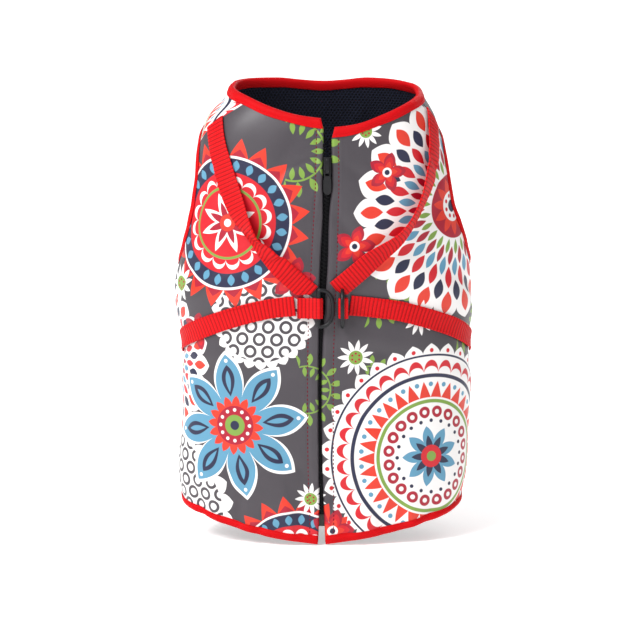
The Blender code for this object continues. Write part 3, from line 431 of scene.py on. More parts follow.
def lay_grid(mesh, columns, rows, place, chart=None):
    """Add a grid to a bmesh and move it onto place(u, v), in millimetres."""
    first = len(mesh.verts)
    faces = len(mesh.faces)
    made = bmesh.ops.create_grid(mesh, x_segments=columns, y_segments=rows, size=0.5)["verts"]
    u = np.round((np.array([vert.co.x for vert in made]) + 0.5) * columns) / columns
    v = np.round((np.array([vert.co.y for vert in made]) + 0.5) * rows) / rows
    for vert, point in zip(made, place(u, v) * MM):
        vert.co = point
    if chart is None:
        return
    layer = mesh.loops.layers.uv.get("cut") or mesh.loops.layers.uv.new("cut")
    across, up = chart(u, v)
    spots = np.stack([across * MM, up * MM], -1).tolist()
    mesh.verts.index_update()
    mesh.faces.ensure_lookup_table()
    for face in mesh.faces[faces:]:
        for loop in face.loops:
            loop[layer].uv = spots[loop.vert.index - first]


def lay_cloth(mesh, columns, rows, place, points_at, chart_at):
    """Add a grid of cloth from the places on it that place(u, v) gives."""
    lay_grid(
        mesh,
        columns,
        rows,
        lambda u, v: points_at(*place(u, v)),
        lambda u, v: chart_at(*place(u, v)),
    )


def close_up(mesh, caps=False):
    """Merge the edges that meet, and cap a tube's open ends."""
    bmesh.ops.remove_doubles(mesh, verts=mesh.verts, dist=0.01 * MM)
    if caps:
        open_edges = [edge for edge in mesh.edges if edge.is_boundary]
        bmesh.ops.holes_fill(mesh, edges=open_edges, sides=0)
        bmesh.ops.recalc_face_normals(mesh, faces=mesh.faces)


def size(name):
    """One of the user's sizes, in millimetres."""
    return getattr(bpy.context.scene.vest_sizes, name) / MM


def to_data(mesh, name):
    """Turn a bmesh into mesh data and free it."""
    data = bpy.data.meshes.new(name)
    mesh.to_mesh(data)
    mesh.free()
    return data


def linked(name, data):
    made = bpy.data.objects.new(name, data)
    bpy.context.scene.collection.objects.link(made)
    return made


def make_piece(name, mesh, slot, node=None, body="vest", thick=0.0, finish=None):
    """Turn a bmesh into a piece that rides on a body and may replace a node."""
    data = to_data(mesh, name)
    data.materials.append(finishes[finish or slot])
    data.shade_smooth()
    data.set_sharp_from_angle(angle=SHARP_ANGLE)
    piece = linked(name, data)
    if thick:
        shell = piece.modifiers.new("thickness", "SOLIDIFY")
        shell.thickness = thick * MM
        shell.offset = 0.0
    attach(piece, body)
    if node:
        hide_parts(node)
    return piece


def scattered(shape, matrices):
    """A bmesh with a copy of a small mesh, which goes, at each matrix."""
    mesh = bmesh.new()
    for matrix in matrices:
        copy = shape.copy()
        copy.transform(matrix)
        mesh.from_mesh(copy)
        bpy.data.meshes.remove(copy)
    bpy.data.meshes.remove(shape)
    return mesh


def frame_matrix(point, along, out):
    """Matrix with X along, Z out and its origin at a point in millimetres."""
    out = Vector(out).normalized()
    along = Vector(along)
    along = (along - out * along.dot(out)).normalized()
    aside = out.cross(along)
    matrix = Matrix((along, aside, out)).transposed().to_4x4()
    matrix.translation = Vector(point) * MM
    return matrix


def lengths(points):
    steps = np.linalg.norm(np.diff(points, axis=0), axis=1)
    return np.concatenate(([0.0], np.cumsum(steps)))


def read_along(at, run, points):
    """Points of a line at some lengths along it."""
    return np.stack([np.interp(at, run, values) for values in points.T], -1)


# How much of the pitch a stitch spans, and half its width and height
Stitch = namedtuple("Stitch", "span wide high")
ZIP_STITCH = Stitch(0.66, 0.5, 0.3)
BINDING_STITCH = Stitch(0.72, 0.3, 0.2)
STRAP_STITCH = Stitch(0.7, 0.32, 0.2)


def sew(name, lines, slot, finish, stitch):
    """Rows of stitches along lines, each a pair of points and outward ways."""
    mesh = bmesh.new()
    bmesh.ops.create_uvsphere(mesh, u_segments=6, v_segments=4, radius=1.0)
    bmesh.ops.rotate(mesh, verts=mesh.verts, matrix=Matrix.Rotation(pi / 2.0, 3, "Y"))
    matrices = []
    for points, outs in lines:
        run = lengths(points)
        count = max(2, int(run[-1] / size("stitch_pitch")))
        half = run[-1] / count * stitch.span / 2.0
        scale = (half * MM, stitch.wide * MM, stitch.high * MM, 1.0)
        for k in range(count):
            spots = (np.array([k + 0.1, k + 0.5, k + 0.9]) / count) * run[-1]
            p = read_along(spots, run, points)
            out = read_along(spots[1], run, outs)
            matrices.append(frame_matrix(p[1], p[2] - p[0], out) @ Matrix.Diagonal(scale))
    make_piece(name, scattered(to_data(mesh, "stitch"), matrices), slot, finish=finish)


# ------------------------------------------------------------ material making


# Millimetres from one colour of the print to the next
EDGE_SOFTNESS = 0.3


def math_method(operation):
    """A method that joins its object and what it is given by one Math node."""
    return lambda self, *others: self.op(operation, *others)


class Value:
    """A number inside a material, joined by Python's operators."""

    def __init__(self, finish, socket):
        self.finish = finish
        self.socket = socket

    def op(self, operation, *others, clamp=False):
        return self.finish.math(operation, self, *others, clamp=clamp)

    __add__ = __radd__ = math_method("ADD")
    __sub__ = math_method("SUBTRACT")
    __mul__ = __rmul__ = math_method("MULTIPLY")
    __pow__ = math_method("POWER")
    __lt__ = math_method("LESS_THAN")
    __abs__ = math_method("ABSOLUTE")
    fract = math_method("FRACT")
    sin = math_method("SINE")
    sqrt = math_method("SQRT")
    least = math_method("MINIMUM")
    most = math_method("MAXIMUM")
    turned_to = math_method("ARCTAN2")

    def __rsub__(self, other):
        return self.finish.math("SUBTRACT", other, self)

    def clamped(self):
        return self.op("ADD", 0.0, clamp=True)

    def edge(self):
        """1 where the number is above 0, 0 where it is below, softly."""
        return self.op("MULTIPLY_ADD", 1.0 / EDGE_SOFTNESS, 0.5, clamp=True)


class Finish:
    """A material being made."""

    def __init__(self, name, roughness=0.6, metallic=0.0, **constants):
        self.material = bpy.data.materials.new(name)
        self.material.use_nodes = True
        self.nodes = self.material.node_tree.nodes
        self.links = self.material.node_tree.links
        self.shader = self.nodes["Principled BSDF"]
        self.shader.inputs["Roughness"].default_value = roughness
        self.shader.inputs["Metallic"].default_value = metallic
        for key, value in constants.items():
            self.feed(self.shader.inputs[key.replace("_", " ")], value)

    def feed(self, socket, value):
        if isinstance(value, Value):
            self.links.new(value.socket, socket)
        elif isinstance(value, bpy.types.NodeSocket):
            self.links.new(value, socket)
        elif socket.type == "RGBA":
            socket.default_value = (*value, 1.0) if len(value) == 3 else value
        else:
            socket.default_value = value

    def node(self, kind, settings=None, sockets=None):
        made = self.nodes.new(kind)
        for key, value in (settings or {}).items():
            setattr(made, key, value)
        for key, value in (sockets or {}).items():
            self.feed(made.inputs[key], value)
        return made

    def math(self, operation, *values, clamp=False):
        settings = {"operation": operation, "use_clamp": clamp}
        made = self.node("ShaderNodeMath", settings, dict(enumerate(values)))
        return Value(self, made.outputs[0])

    def mix(self, share, low, high):
        sockets = {0: share, 6: low, 7: high}
        return self.node("ShaderNodeMix", {"data_type": "RGBA"}, sockets).outputs[2]

    def cut(self):
        """Millimetres across and along the cut piece."""
        spot = self.node("ShaderNodeUVMap", {"uv_map": "cut"}).outputs[0]
        parts = self.node("ShaderNodeSeparateXYZ", sockets={0: spot}).outputs
        return Value(self, parts[0]) * 1000.0, Value(self, parts[1]) * 1000.0

    def noise(self, scale, detail=2.0, roughness=0.5):
        spot = self.node("ShaderNodeTexCoord").outputs["Object"]
        sockets = {"Scale": scale, "Detail": detail, "Roughness": roughness, "Vector": spot}
        return Value(self, self.node("ShaderNodeTexNoise", sockets=sockets).outputs[0])

    def colour(self, value):
        self.feed(self.shader.inputs["Base Color"], value)

    def rough(self, value):
        self.feed(self.shader.inputs["Roughness"], value)

    def bump(self, height, distance):
        """Raise the surface by a height of 0 to 1 times a distance."""
        sockets = {"Height": height, "Distance": distance * MM, "Strength": 1.0}
        made = self.node("ShaderNodeBump", sockets=sockets)
        self.feed(self.shader.inputs["Normal"], made.outputs[0])


# ------------------------------------------------------------ the print

# A flower's middle on the cut cloth and its size; the chest piece's own cut
# lies a metre beside the back's
Spot = namedtuple("Spot", "across up size", defaults=(1.0,))
CHEST = 1000.0
WHEELS = rows_of(
    Spot,
    (84, -262, 0.94), (CHEST - 66, -206), (CHEST + 96, -40, 0.7),
)
DAHLIAS = rows_of(
    Spot,
    (104, -78), (-146, -196, 0.72), (CHEST + 84, -176, 0.95), (CHEST - 70, -66, 0.8),
)
ROUNDELS = rows_of(
    Spot,
    (-74, -88, 1.12), (CHEST + 22, -98), (CHEST + 30, -290), (-20, -345),
)
BLOOMS = rows_of(
    Spot,
    (-64, -238, 1.08), (CHEST + 100, -262, 0.9), (CHEST - 146, -140, 0.8),
)
PATCHES = rows_of(
    Spot,
    (-132, -304), (-44, -156, 0.62), (CHEST - 30, -14), (CHEST - 130, -280),
)
DAISIES = rows_of(
    Spot,
    (26, -186), (-8, -292, 0.9), (-118, -136, 1.1), (28, -20, 0.9), (74, -158), (150, -160, 1.1),
    (CHEST + 4, -146), (CHEST + 140, -116), (CHEST + 8, -236), (CHEST + 46, -34),
    (CHEST - 140, -86),
)
TREFOILS = rows_of(
    Spot,
    (22, -104, 0.85), (-22, -128, 0.9), (-130, -36), (8, -316, 0.9), (44, -50, 0.8),
    (-98, -170, 0.8), (CHEST - 16, -130), (CHEST - 120, -120), (CHEST + 136, -226),
)
SPRIGS = rows_of(
    Spot,
    (-24, -34), (116, -158, 0.9), (40, -138, 0.8), (-10, -210, 0.8), (36, -208, 0.7),
    (CHEST + 30, -206), (CHEST - 40, -120),
)


class Motif:
    """Polar measures round the nearest of several spots."""

    def __init__(self, x, y, spots, turned=0.0):
        best = None
        for spot in spots:
            dx, dy = (x - spot.across) * (1.0 / spot.size), (y - spot.up) * (1.0 / spot.size)
            here = (dx * dx + dy * dy, dx, dy)
            if best is None:
                best = here
            else:
                nearer = here[0] < best[0]
                best = tuple(b + (a - b) * nearer for a, b in zip(here, best))
        self.r = best[0].sqrt()
        self.turn = best[2].turned_to(best[1]) * (1.0 / tau) + turned

    def cell(self, count, shift=0.0):
        """-0.5 to 0.5 across one of several equal sectors."""
        return (self.turn * count + shift).fract() - 0.5

    def within(self, radius):
        return (radius - self.r).edge()

    def band(self, low, high):
        return (self.r - low).edge() * (high - self.r).edge()

    def beads(self, count, at, size, shift=0.0):
        aside = self.cell(count, shift) * (tau * at / count)
        away = self.r - at
        return (size - (aside * aside + away * away).sqrt()).edge()

    def petals(self, count, low, high, power):
        lobe = (1.0 - abs(self.cell(count)) * 2.0) ** power
        return (lobe * (high - low) + low - self.r).edge()

    def leaves(self, count, low, high, half, shift=0.0):
        """Pointed leaves whose length runs outwards."""
        middle = (low + high) / 2.0
        along = (self.r - middle) * (2.0 / (high - low))
        aside = abs(self.cell(count, shift)) * (tau * middle / count)
        return ((1.0 - along * along) * half - aside).edge()

    def arches(self, count, low, rise):
        across = self.cell(count) * 2.0
        top = (1.0 - across * across).most(0.0).sqrt() * rise + low
        return (top - self.r).edge() * (self.r - low).edge()

    def teeth(self, count, low, high, rise):
        """Pointed teeth with their tips outwards, cut off at a circle."""
        tooth = abs(self.cell(count)) * 2.0
        return self.band(low, high) * (tooth * rise + low - self.r).edge()


# Each flower from its lowest layer up: a Motif method, a colour, and measures
Flower = namedtuple("Flower", "spots turned layers")
FLOWERS = (
    Flower(DAHLIAS, 0.02, (
        ("petals", "pale", 22, 74, 84, 0.5), ("leaves", "orange", 22, 62, 79, 4.6),
        ("leaves", "navy", 22, 54, 69, 3.9, 0.5), ("leaves", "red", 22, 44, 60, 3.4),
        ("leaves", "blue", 22, 37, 51, 2.9, 0.5), ("leaves", "deep_red", 22, 29, 43, 2.4),
        ("leaves", "lime", 22, 24, 35, 1.9, 0.5), ("within", "deep_red", 23),
        ("petals", "orange", 11, 12, 21, 0.8), ("within", "pale", 11),
        ("beads", "red", 8, 7.6, 1.5), ("within", "navy", 4.4),
    )),
    Flower(WHEELS, 0.0, (
        ("petals", "pale", 34, 82, 90, 0.55), ("band", "navy", 80, 81.6),
        ("beads", "red", 34, 84.6, 1.7), ("arches", "red", 34, 66, 11),
        ("arches", "pale", 34, 66, 6), ("band", "navy", 63, 66),
        ("teeth", "orange", 30, 47, 61, 13), ("beads", "blue", 30, 57.6, 1.9),
        ("band", "lime", 42.6, 45.4), ("beads", "deep_red", 20, 35.6, 4.6),
        ("beads", "pale", 20, 35.6, 1.9), ("beads", "navy", 20, 28.6, 1.5, 0.5),
        ("petals", "blue", 9, 13, 24.5, 0.7), ("petals", "navy", 9, 8, 17, 0.9),
        ("within", "red", 9), ("within", "lime", 4),
    )),
    Flower(BLOOMS, 0.04, (
        ("petals", "pale", 8, 22, 52, 0.5), ("petals", "blue", 8, 19, 49.4, 0.54),
        ("leaves", "navy", 8, 20, 42, 4.6), ("leaves", "blue", 8, 23, 38, 1.8),
        ("beads", "pale", 8, 45, 1.3), ("petals", "orange", 16, 14.5, 20.5, 0.6),
        ("within", "deep_red", 13.4), ("beads", "pale", 12, 10.6, 1.2),
        ("within", "lime", 7.2), ("within", "navy", 3.2),
    )),
    Flower(ROUNDELS, 0.0, (
        ("petals", "orange", 20, 44, 56, 1), ("petals", "deep_red", 20, 43, 49, 1),
        ("within", "pale", 44), ("within", "navy", 42.4), ("leaves", "blue", 24, 34, 41.4, 2.5),
        ("within", "red", 33.4), ("arches", "pale", 16, 24, 7),
        ("arches", "red", 16, 24, 4), ("band", "lime", 22.4, 24),
        ("petals", "pale", 8, 9, 20.5, 1.25), ("petals", "deep_red", 8, 6, 14.5, 1.25),
        ("within", "orange", 5.6), ("within", "pale", 2.6),
    )),
    Flower(TREFOILS, 0.09, (
        ("petals", "deep_red", 5, 7, 18.5, 0.6), ("petals", "red", 5, 5.6, 14.5, 0.7),
        ("petals", "orange", 5, 4, 10, 0.9), ("within", "pale", 4.4), ("within", "navy", 2.4),
    )),
    Flower(DAISIES, 0.0, (
        ("petals", "pale", 11, 5, 13.5, 0.75), ("within", "lime", 5.2),
        ("beads", "deep_red", 6, 2.9, 0.8),
    )),
)
NET_PITCH = 13.0


def net(x, y, pitch, tall):
    """Distance from the nearest hole of a staggered net, in its pitches."""

    def away(shift):
        dx = (x * (1.0 / pitch) + shift).fract() - 0.5
        dy = ((y * (1.0 / (pitch * tall)) + shift).fract() - 0.5) * tall
        return (dx * dx + dy * dy).sqrt()

    return away(0.0).least(away(0.5))


def print_colours(colours, finish, x, y):
    """The print: ringed patches, sprigs, then flowers on a dark ground."""
    sheet = finish.mix(finish.noise(46.0, 3.0) * 0.5, colours.ground, colours.ground_low)

    def lay(mask, colour):
        nonlocal sheet
        sheet = finish.mix(mask, sheet, tuple(getattr(colours, colour)))

    patch = Motif(x, y, PATCHES)
    lay(patch.petals(26, 57.0, 64.0, 0.5), "pale")
    near = net(x, y, NET_PITCH, 1.4) * NET_PITCH
    inside = patch.within(55.0)
    for radius, colour in ((4.9, "ground"), (2.7, "pale")):
        lay((radius - near).edge() * inside, colour)

    sprig = Motif(x, y, SPRIGS)
    part = abs(sprig.turn) < 0.3
    lay((0.7 - abs(sprig.r - 22.0)).edge() * part, "lime")
    for leaf in ((15, 22.5, 34.0, 2.7), (15, 12.0, 21.5, 2.0, 0.5)):
        lay(sprig.leaves(*leaf) * part, "lime")

    for flower in FLOWERS:
        motif = Motif(x, y, flower.spots, flower.turned)
        for shape, colour, *measures in flower.layers:
            lay(getattr(motif, shape)(*measures), colour)
    return sheet


# ------------------------------------------------------------ user settings


def length_property(name, description, length):
    return bpy.props.FloatProperty(
        name=name, description=description, default=length * MM, unit="LENGTH"
    )


class VestSizes(bpy.types.PropertyGroup):
    """Sizes of the sewn detail."""

    cloth_thickness: length_property("Cloth", "Thickness of the outer cloth", 0.9)
    lining_thickness: length_property("Lining", "Thickness of the mesh lining", 1.2)
    tape_thickness: length_property("Binding", "Thickness of the binding tape", 0.5)
    webbing_width: length_property("Webbing width", "Width of the straps", 15.0)
    webbing_thickness: length_property("Webbing", "Thickness of the straps", 1.5)
    rib_pitch: length_property("Rib pitch", "Distance between the webbing's ribs", 2.8)
    stitch_pitch: length_property("Stitch pitch", "Distance between two stitches", 3.0)
    tooth_pitch: length_property("Tooth pitch", "Distance between two teeth of one row", 2.9)


def colour_property(name, description, value):
    return bpy.props.FloatVectorProperty(
        name=name, description=description, subtype="COLOR", size=3, min=0.0, max=1.0, default=value
    )


class VestColours(bpy.types.PropertyGroup):
    """Colours of the cloth, its print and its trim."""

    ground: colour_property("Ground", "Dark ground of the print", (0.056, 0.048, 0.056))
    ground_low: colour_property("Ground, low", "Darker patches of it", (0.036, 0.031, 0.038))
    red: colour_property("Red", "Brightest red of the print", (0.52, 0.004, 0.013))
    deep_red: colour_property("Deep red", "Crimson of the print", (0.33, 0.003, 0.02))
    orange: colour_property("Orange", "Orange-red of the print", (0.62, 0.03, 0.012))
    navy: colour_property("Navy", "Navy of the print", (0.012, 0.014, 0.045))
    blue: colour_property("Blue", "Light blue of the print", (0.09, 0.26, 0.39))
    lime: colour_property("Lime", "Leaf green of the print", (0.17, 0.29, 0.045))
    pale: colour_property("Pale", "Off-white of the print", (0.76, 0.74, 0.73))
    trim: colour_property("Trim", "Red of the bindings and webbing", (0.62, 0.0028, 0.0058))
    lining: colour_property("Lining", "Navy-black of the mesh lining", (0.006, 0.008, 0.02))


# ------------------------------------------------------------ finishes


def scaled(colour, share):
    return tuple(part * share for part in colour)


def cloth_finish(colours):
    finish = Finish("printed_cloth", 0.5, Specular_IOR_Level=0.42)
    x, y = finish.cut()
    finish.colour(print_colours(colours, finish, x, y))
    grain = finish.noise(900.0, 3.0, 0.6)
    weave = (x * (tau / 0.8)).sin() * (y * (tau / 0.8)).sin() * 0.5 + 0.5
    finish.rough(finish.noise(30.0, 2.0) * 0.16 + grain * 0.1 + 0.28)
    finish.bump(weave * 0.5 + grain * 0.5, 0.06)
    return finish.material


def mesh_finish(colours):
    """Spacer mesh: round holes in a staggered net."""
    finish = Finish("air_mesh", 0.85, Specular_IOR_Level=0.2)
    x, y = finish.cut()
    rim = ((net(x, y, 2.7, 1.5) - 0.24) * 7.0).clamped()
    yarn = finish.noise(1300.0, 3.0, 0.6)
    light = tuple(min(1.0, part * 1.9 + 0.004) for part in colours.lining)
    body = finish.mix(yarn, tuple(colours.lining), light)
    # The holes are painted darker than the yarn round them, a painted shade in the holes
    finish.colour(finish.mix(rim, scaled(colours.lining, 0.25), body))
    finish.rough(yarn * 0.2 + 0.7)
    finish.bump(rim * 0.8 + yarn * 0.2, 0.55)
    return finish.material


def tape_finish(colours):
    """Ribbed binding tape, its fine ribs across the tape."""
    finish = Finish("binding_tape", 0.5, Specular_IOR_Level=0.08)
    along = finish.cut()[1]
    rib = (along * (tau / 0.62)).sin() * 0.5 + 0.5
    yarn = finish.noise(1400.0, 2.0, 0.6)
    patch = finish.noise(60.0, 2.0)
    # The grooves between the ribs are painted darker, a painted shade, mixed with the yarn's and
    # patches' own tone
    groove_shade_and_tone = rib * 0.5 + yarn * 0.3 + patch * 0.2
    finish.colour(finish.mix(groove_shade_and_tone, scaled(colours.trim, 0.62), tuple(colours.trim)))
    finish.rough(yarn * 0.2 + 0.45)
    finish.bump(rib * 0.7 + yarn * 0.3, 0.09)
    return finish.material


def webbing_finish(colours):
    """Woven webbing: a rib across every few millimetres, fine yarns along it."""
    pitch = size("rib_pitch")
    finish = Finish("webbing", 0.5, Specular_IOR_Level=0.14)
    x, y = finish.cut()
    groove = abs((y * (1.0 / pitch)).fract() - 0.5) * 2.0
    rib = ((1.0 - groove * groove) * 1.2).clamped()
    yarn = (x * (tau / 1.05) + (y * (tau / pitch)).sin() * 0.5).sin() * 0.5 + 0.5
    fuzz = finish.noise(1500.0, 2.0, 0.6)
    # The grooves between ribs and between yarns are painted darker, a painted shade, mixed with the
    # fuzz's own tone
    groove_shade_and_tone = (rib * 0.76 + yarn * 0.22 + fuzz * 0.12).clamped()
    finish.colour(finish.mix(groove_shade_and_tone, scaled(colours.trim, 0.2), tuple(colours.trim)))
    finish.rough(fuzz * 0.22 + 0.4)
    finish.bump(yarn * 0.5 + rib * 0.3 + fuzz * 0.2, 0.16)
    return finish.material


def zip_tape_finish():
    """Black twill tape."""
    finish = Finish("zip_tape", 0.8, Specular_IOR_Level=0.02)
    x, y = finish.cut()
    twill = ((x + y) * (tau / 0.9)).sin() * 0.5 + 0.5
    # The twill's grooves are painted darker and its ridges lighter, a painted shade
    finish.colour(finish.mix(twill, (0.0025, 0.0025, 0.003), (0.007, 0.007, 0.008)))
    finish.bump(twill, 0.12)
    return finish.material


def plain_finish(name, low, high, roughness, scale, depth, **constants):
    """A finish whose colour and gloss vary softly, with a fine grain."""
    finish = Finish(name, roughness, **constants)
    patch = finish.noise(scale, 3.0, 0.6)
    grain = finish.noise(scale * 9.0, 2.0, 0.5)
    finish.colour(finish.mix(patch, low, high))
    finish.rough(patch * 0.14 + grain * 0.06 + (roughness - 0.1))
    finish.bump(grain * 0.6 + patch * 0.4, depth)
    return finish.material


def build_finishes():
    colours = bpy.context.scene.vest_colours
    trim = tuple(colours.trim)
    finishes["printed_cloth"] = cloth_finish(colours)
    finishes["air_mesh"] = mesh_finish(colours)
    finishes["binding_tape"] = tape_finish(colours)
    finishes["webbing"] = webbing_finish(colours)
    finishes["zip_tape"] = zip_tape_finish()
    thread = {"roughness": 0.5, "scale": 400.0, "depth": 0.05, "Specular_IOR_Level": 0.1}
    finishes["red_thread"] = plain_finish("red_thread", scaled(trim, 0.7), trim, **thread)
    wine = ((0.07, 0.003, 0.01), (0.2, 0.006, 0.02))
    finishes["edge_thread"] = plain_finish("edge_thread", *wine, **thread)
    black = ((0.002, 0.002, 0.0025), (0.006, 0.006, 0.007))
    finishes["zip_teeth"] = plain_finish(
        "zip_teeth", *black, 0.42, 300.0, 0.02, Specular_IOR_Level=0.07
    )
    metal = ((0.006, 0.006, 0.007), (0.016, 0.016, 0.018))
    finishes["ring_metal"] = finishes["zip_metal"] = plain_finish(
        "ring_metal", *metal, 0.32, 120.0, 0.02, Specular_IOR_Level=0.25
    )
    steel = ((0.012, 0.011, 0.01), (0.055, 0.05, 0.045))
    finishes["zip_box_metal"] = plain_finish(
        "zip_box_metal", *steel, 0.36, 160.0, 0.02, metallic=0.9
    )


# ------------------------------------------------------------ panels and linings

ROWS_LOW = 100
ROWS_ARM = 56
ROWS_TOP = 24
BACK_COLUMNS = 104
CHEST_COLUMNS = 120
SIDE_COLUMNS = 44
YOKE_COLUMNS = 44
LINING_COLUMNS = 46
LINING_START = 13.6
LINING_INSET = 0.4
THREAD_RISE = 0.03
SEAM_GAP = 0.12
TOPSTITCH_FOOT = -318.0
# Across the folded edge by the zip: how high or deep, where, and how wide
Form = namedtuple("Form", "depth at wide")
FOLD_RISE = Form(0.5, 5.6, 3.0)
TOPSTITCH = Form(0.6, 9.4, 1.2)
FOLD_DIP = Form(0.2, 13.5, 2.6)
EDGE_TURN = Form(0.9, 0.0, 0.7)
SEAM_DIP = Form(0.75, 0.0, 1.4)
SEAM_DIP_TOP = -112.0
SEAM_DIP_FADE = 8.0


def side_seam(share, inset):
    s, top = armhole(ARM_LOWER_FRONT, inset)
    return s + 0.0 * share, between(hem_height(SIDE_SEAM) + TUCK, top, share)


def front_armhole(share, inset):
    return armhole(between(ARM_LOWER_FRONT, ARM_UPPER_FRONT, share), inset)


def shoulder_seam(share, inset, side):
    s_low, z_low = armhole(ARM_UPPER_FRONT, inset)
    s_top, z_top = seam_top(side)
    return between(s_low, s_top, share), between(z_low, z_top, share)


def back_edge(v, inset, side):
    """Outer edge of a back panel, v from the hem to the neck."""
    row = v * (ROWS_LOW + ROWS_ARM + ROWS_TOP)
    low = side_seam(np.clip(row / ROWS_LOW, 0.0, 1.0), inset)
    arm = front_armhole(np.clip((row - ROWS_LOW) / ROWS_ARM, 0.0, 1.0), inset)
    top = shoulder_seam(np.clip((row - ROWS_LOW - ROWS_ARM) / ROWS_TOP, 0.0, 1.0), inset, side)
    first, second = row <= ROWS_LOW, row <= ROWS_LOW + ROWS_ARM
    return tuple(np.where(first, a, np.where(second, b, c)) for a, b, c in zip(low, arm, top))


def span(s):
    return hem_height(s) + TUCK, neck_height(s) - TUCK


def panel_start(z, side):
    """Half-width of the slit, wider where the neck binding's ends spread."""
    under = 1.0 + (z - neck_height(side * NEAR_ZIP)) / NECK_BINDING
    return slit_half(z) + (NECK_SPREAD - SLIT[-1].half) * np.clip(under, 0.0, 1.0)


def lining_start(z, side):
    return LINING_START + 0.0 * z


def back_place(u, v, start, inset, side):
    """Place on a back panel as if right of the zip, u from the zip outwards."""
    s_edge, z_edge = back_edge(v, inset, side)
    z_low, z_high = (back_edge(np.array(end), inset, side)[1] for end in (0.0, 1.0))
    share = (z_edge - z_low) / (z_high - z_low)
    s_start = start(between(*span(side * NEAR_ZIP), share), side) / GIRTH_SCALE
    s = between(s_start, s_edge, u)
    shift = z_edge - between(*span(side * s_edge), share)
    return s, between(*span(side * s), share) + shift * u


def fold_relief(s, z):
    """Form of the folded edge along the zip, its topstitch and the side seam."""
    away = np.abs(s) * GIRTH_SCALE * ZIP_STRETCH
    edge = np.maximum(away - slit_half(z), 0.0)
    pucker = 0.6 + 0.4 * np.sin(z / 2.9 + 1.7 * np.sin(z / 11.0)) * np.sin(z / 23.0 + 1.0)
    seam = (np.abs(s) - side_seam(np.array(0.0), TUCK)[0]) * GIRTH_SCALE
    below = np.clip((SEAM_DIP_TOP - z) / SEAM_DIP_FADE, 0.0, 1.0)

    def form(x, shape):
        return shape.depth * bell((x - shape.at) / shape.wide)

    out = (form(away, FOLD_RISE) - form(away, FOLD_DIP)) * pucker - form(away, TOPSTITCH)
    return out - form(edge, EDGE_TURN) - form(seam, SEAM_DIP) * below


def panel_points(s, z):
    middle = CLOTH_OUT - size("cloth_thickness") / 2.0
    return surface.at(s, z, middle + fold_relief(s, z))


def lining_points(s, z):
    return surface.at(s, z, np.full_like(s, LINING_MIDDLE))


def back_mesh(side, columns, rows_share, start, inset, points_at):
    """One back panel, or its lining."""
    rows = (ROWS_LOW + ROWS_ARM + ROWS_TOP) // rows_share

    def place(u, v):
        s, z = back_place(u if side > 0.0 else 1.0 - u, v, start, inset, side)
        return side * s, z

    mesh = bmesh.new()
    lay_cloth(mesh, columns, rows, place, points_at, surface.chart)
    return mesh


def chest_blocks(inset, gap):
    """The chest panel's blocks: columns, rows and a place for each."""
    lower = armhole(ARM_LOWER_BACK, inset)
    upper = armhole(ARM_UPPER_BACK, inset)

    def half(side):
        def low(u, v):
            s, top = armhole(between(ARM_LOWER_FRONT, ARM_LOWER_BACK, u), inset)
            edge = side_seam(v, inset)
            s = np.where(u == 0.0, edge[0] + gap / GIRTH_SCALE, s)
            return side * s, between(hem_height(s) + TUCK, top, v)

        def yoke(u, v):
            shift = gap / GIRTH_SCALE * 2.0 * (1.0 - u)
            s_low, z_low = armhole(between(ARM_UPPER_FRONT, ARM_UPPER_BACK, u), inset)
            s_top = between(seam_top(side)[0], upper[0], u)
            z_top = neck_height(side * s_top) - TUCK
            s, z = between(s_low, s_top, v), between(z_low, z_top, v)
            edge = shoulder_seam(v, inset, side)
            s, z = np.where(u == 0.0, edge[0], s), np.where(u == 0.0, edge[1], z)
            return side * (s + shift), z

        return [(SIDE_COLUMNS, ROWS_LOW, low), (YOKE_COLUMNS, ROWS_TOP, yoke)]

    def middle_low(u, v):
        s = between(lower[0], 2.0 - lower[0], u)
        return s, between(hem_height(s) + TUCK, lower[1], v)

    def middle_arm(u, v):
        s, z = armhole(between(ARM_LOWER_BACK, ARM_UPPER_BACK + tau, v), inset)
        return between(s, 2.0 - s, u), z

    def middle_top(u, v):
        s = between(upper[0], 2.0 - upper[0], u)
        return s, between(upper[1], neck_height(s) - TUCK, v)

    return half(1.0) + half(-1.0), [
        (CHEST_COLUMNS, ROWS_LOW, middle_low),
        (CHEST_COLUMNS, ROWS_ARM, middle_arm),
        (CHEST_COLUMNS, ROWS_TOP, middle_top),
    ]


def chest_mesh(coarse, inset, gap, points_at):
    """The chest panel or its lining, from blocks that share their edges."""
    mesh = bmesh.new()
    halves, middles = chest_blocks(inset, gap)

    def chart(s, z):
        across, up = surface.chest_chart(s, z)
        return across + CHEST, up

    for columns, rows, place in halves + middles:
        mirrored = place in [block[2] for block in halves[2:]]

        def spot(u, v, place=place, mirrored=mirrored):
            return place(1.0 - u if mirrored else u, v)

        lay_cloth(mesh, columns // coarse, rows // coarse, spot, points_at, chart)
    close_up(mesh)
    return mesh


class VEST_OT_back_panels(bpy.types.Operator):
    """Make the two printed back panels with their folded, topstitched edges"""

    bl_idname = "vest.back_panels"
    bl_label = "Back panels"

    def execute(self, context):
        lines = []
        for side, name in SIDES:
            mesh = back_mesh(side, BACK_COLUMNS, 1, panel_start, TUCK, panel_points)
            panel = make_piece(
                "cloth_back_" + name,
                mesh,
                "printed_cloth",
                "panel_back_" + name,
                thick=size("cloth_thickness"),
            )
            top = neck_height(side * NEAR_ZIP) - NECK_BINDING - 0.6
            z = np.linspace(TOPSTITCH_FOOT, top, 400)
            s = np.full_like(z, side * TOPSTITCH.at / ZIP_STRETCH / GIRTH_SCALE)
            height = CLOTH_OUT + fold_relief(s, z) + THREAD_RISE
            lines.append((surface.at(s, z, height), surface.field(surface.out, s, z)))
        sew("stitches_zip_edges", lines, "printed_cloth", "edge_thread", ZIP_STITCH)
        return {"FINISHED"}


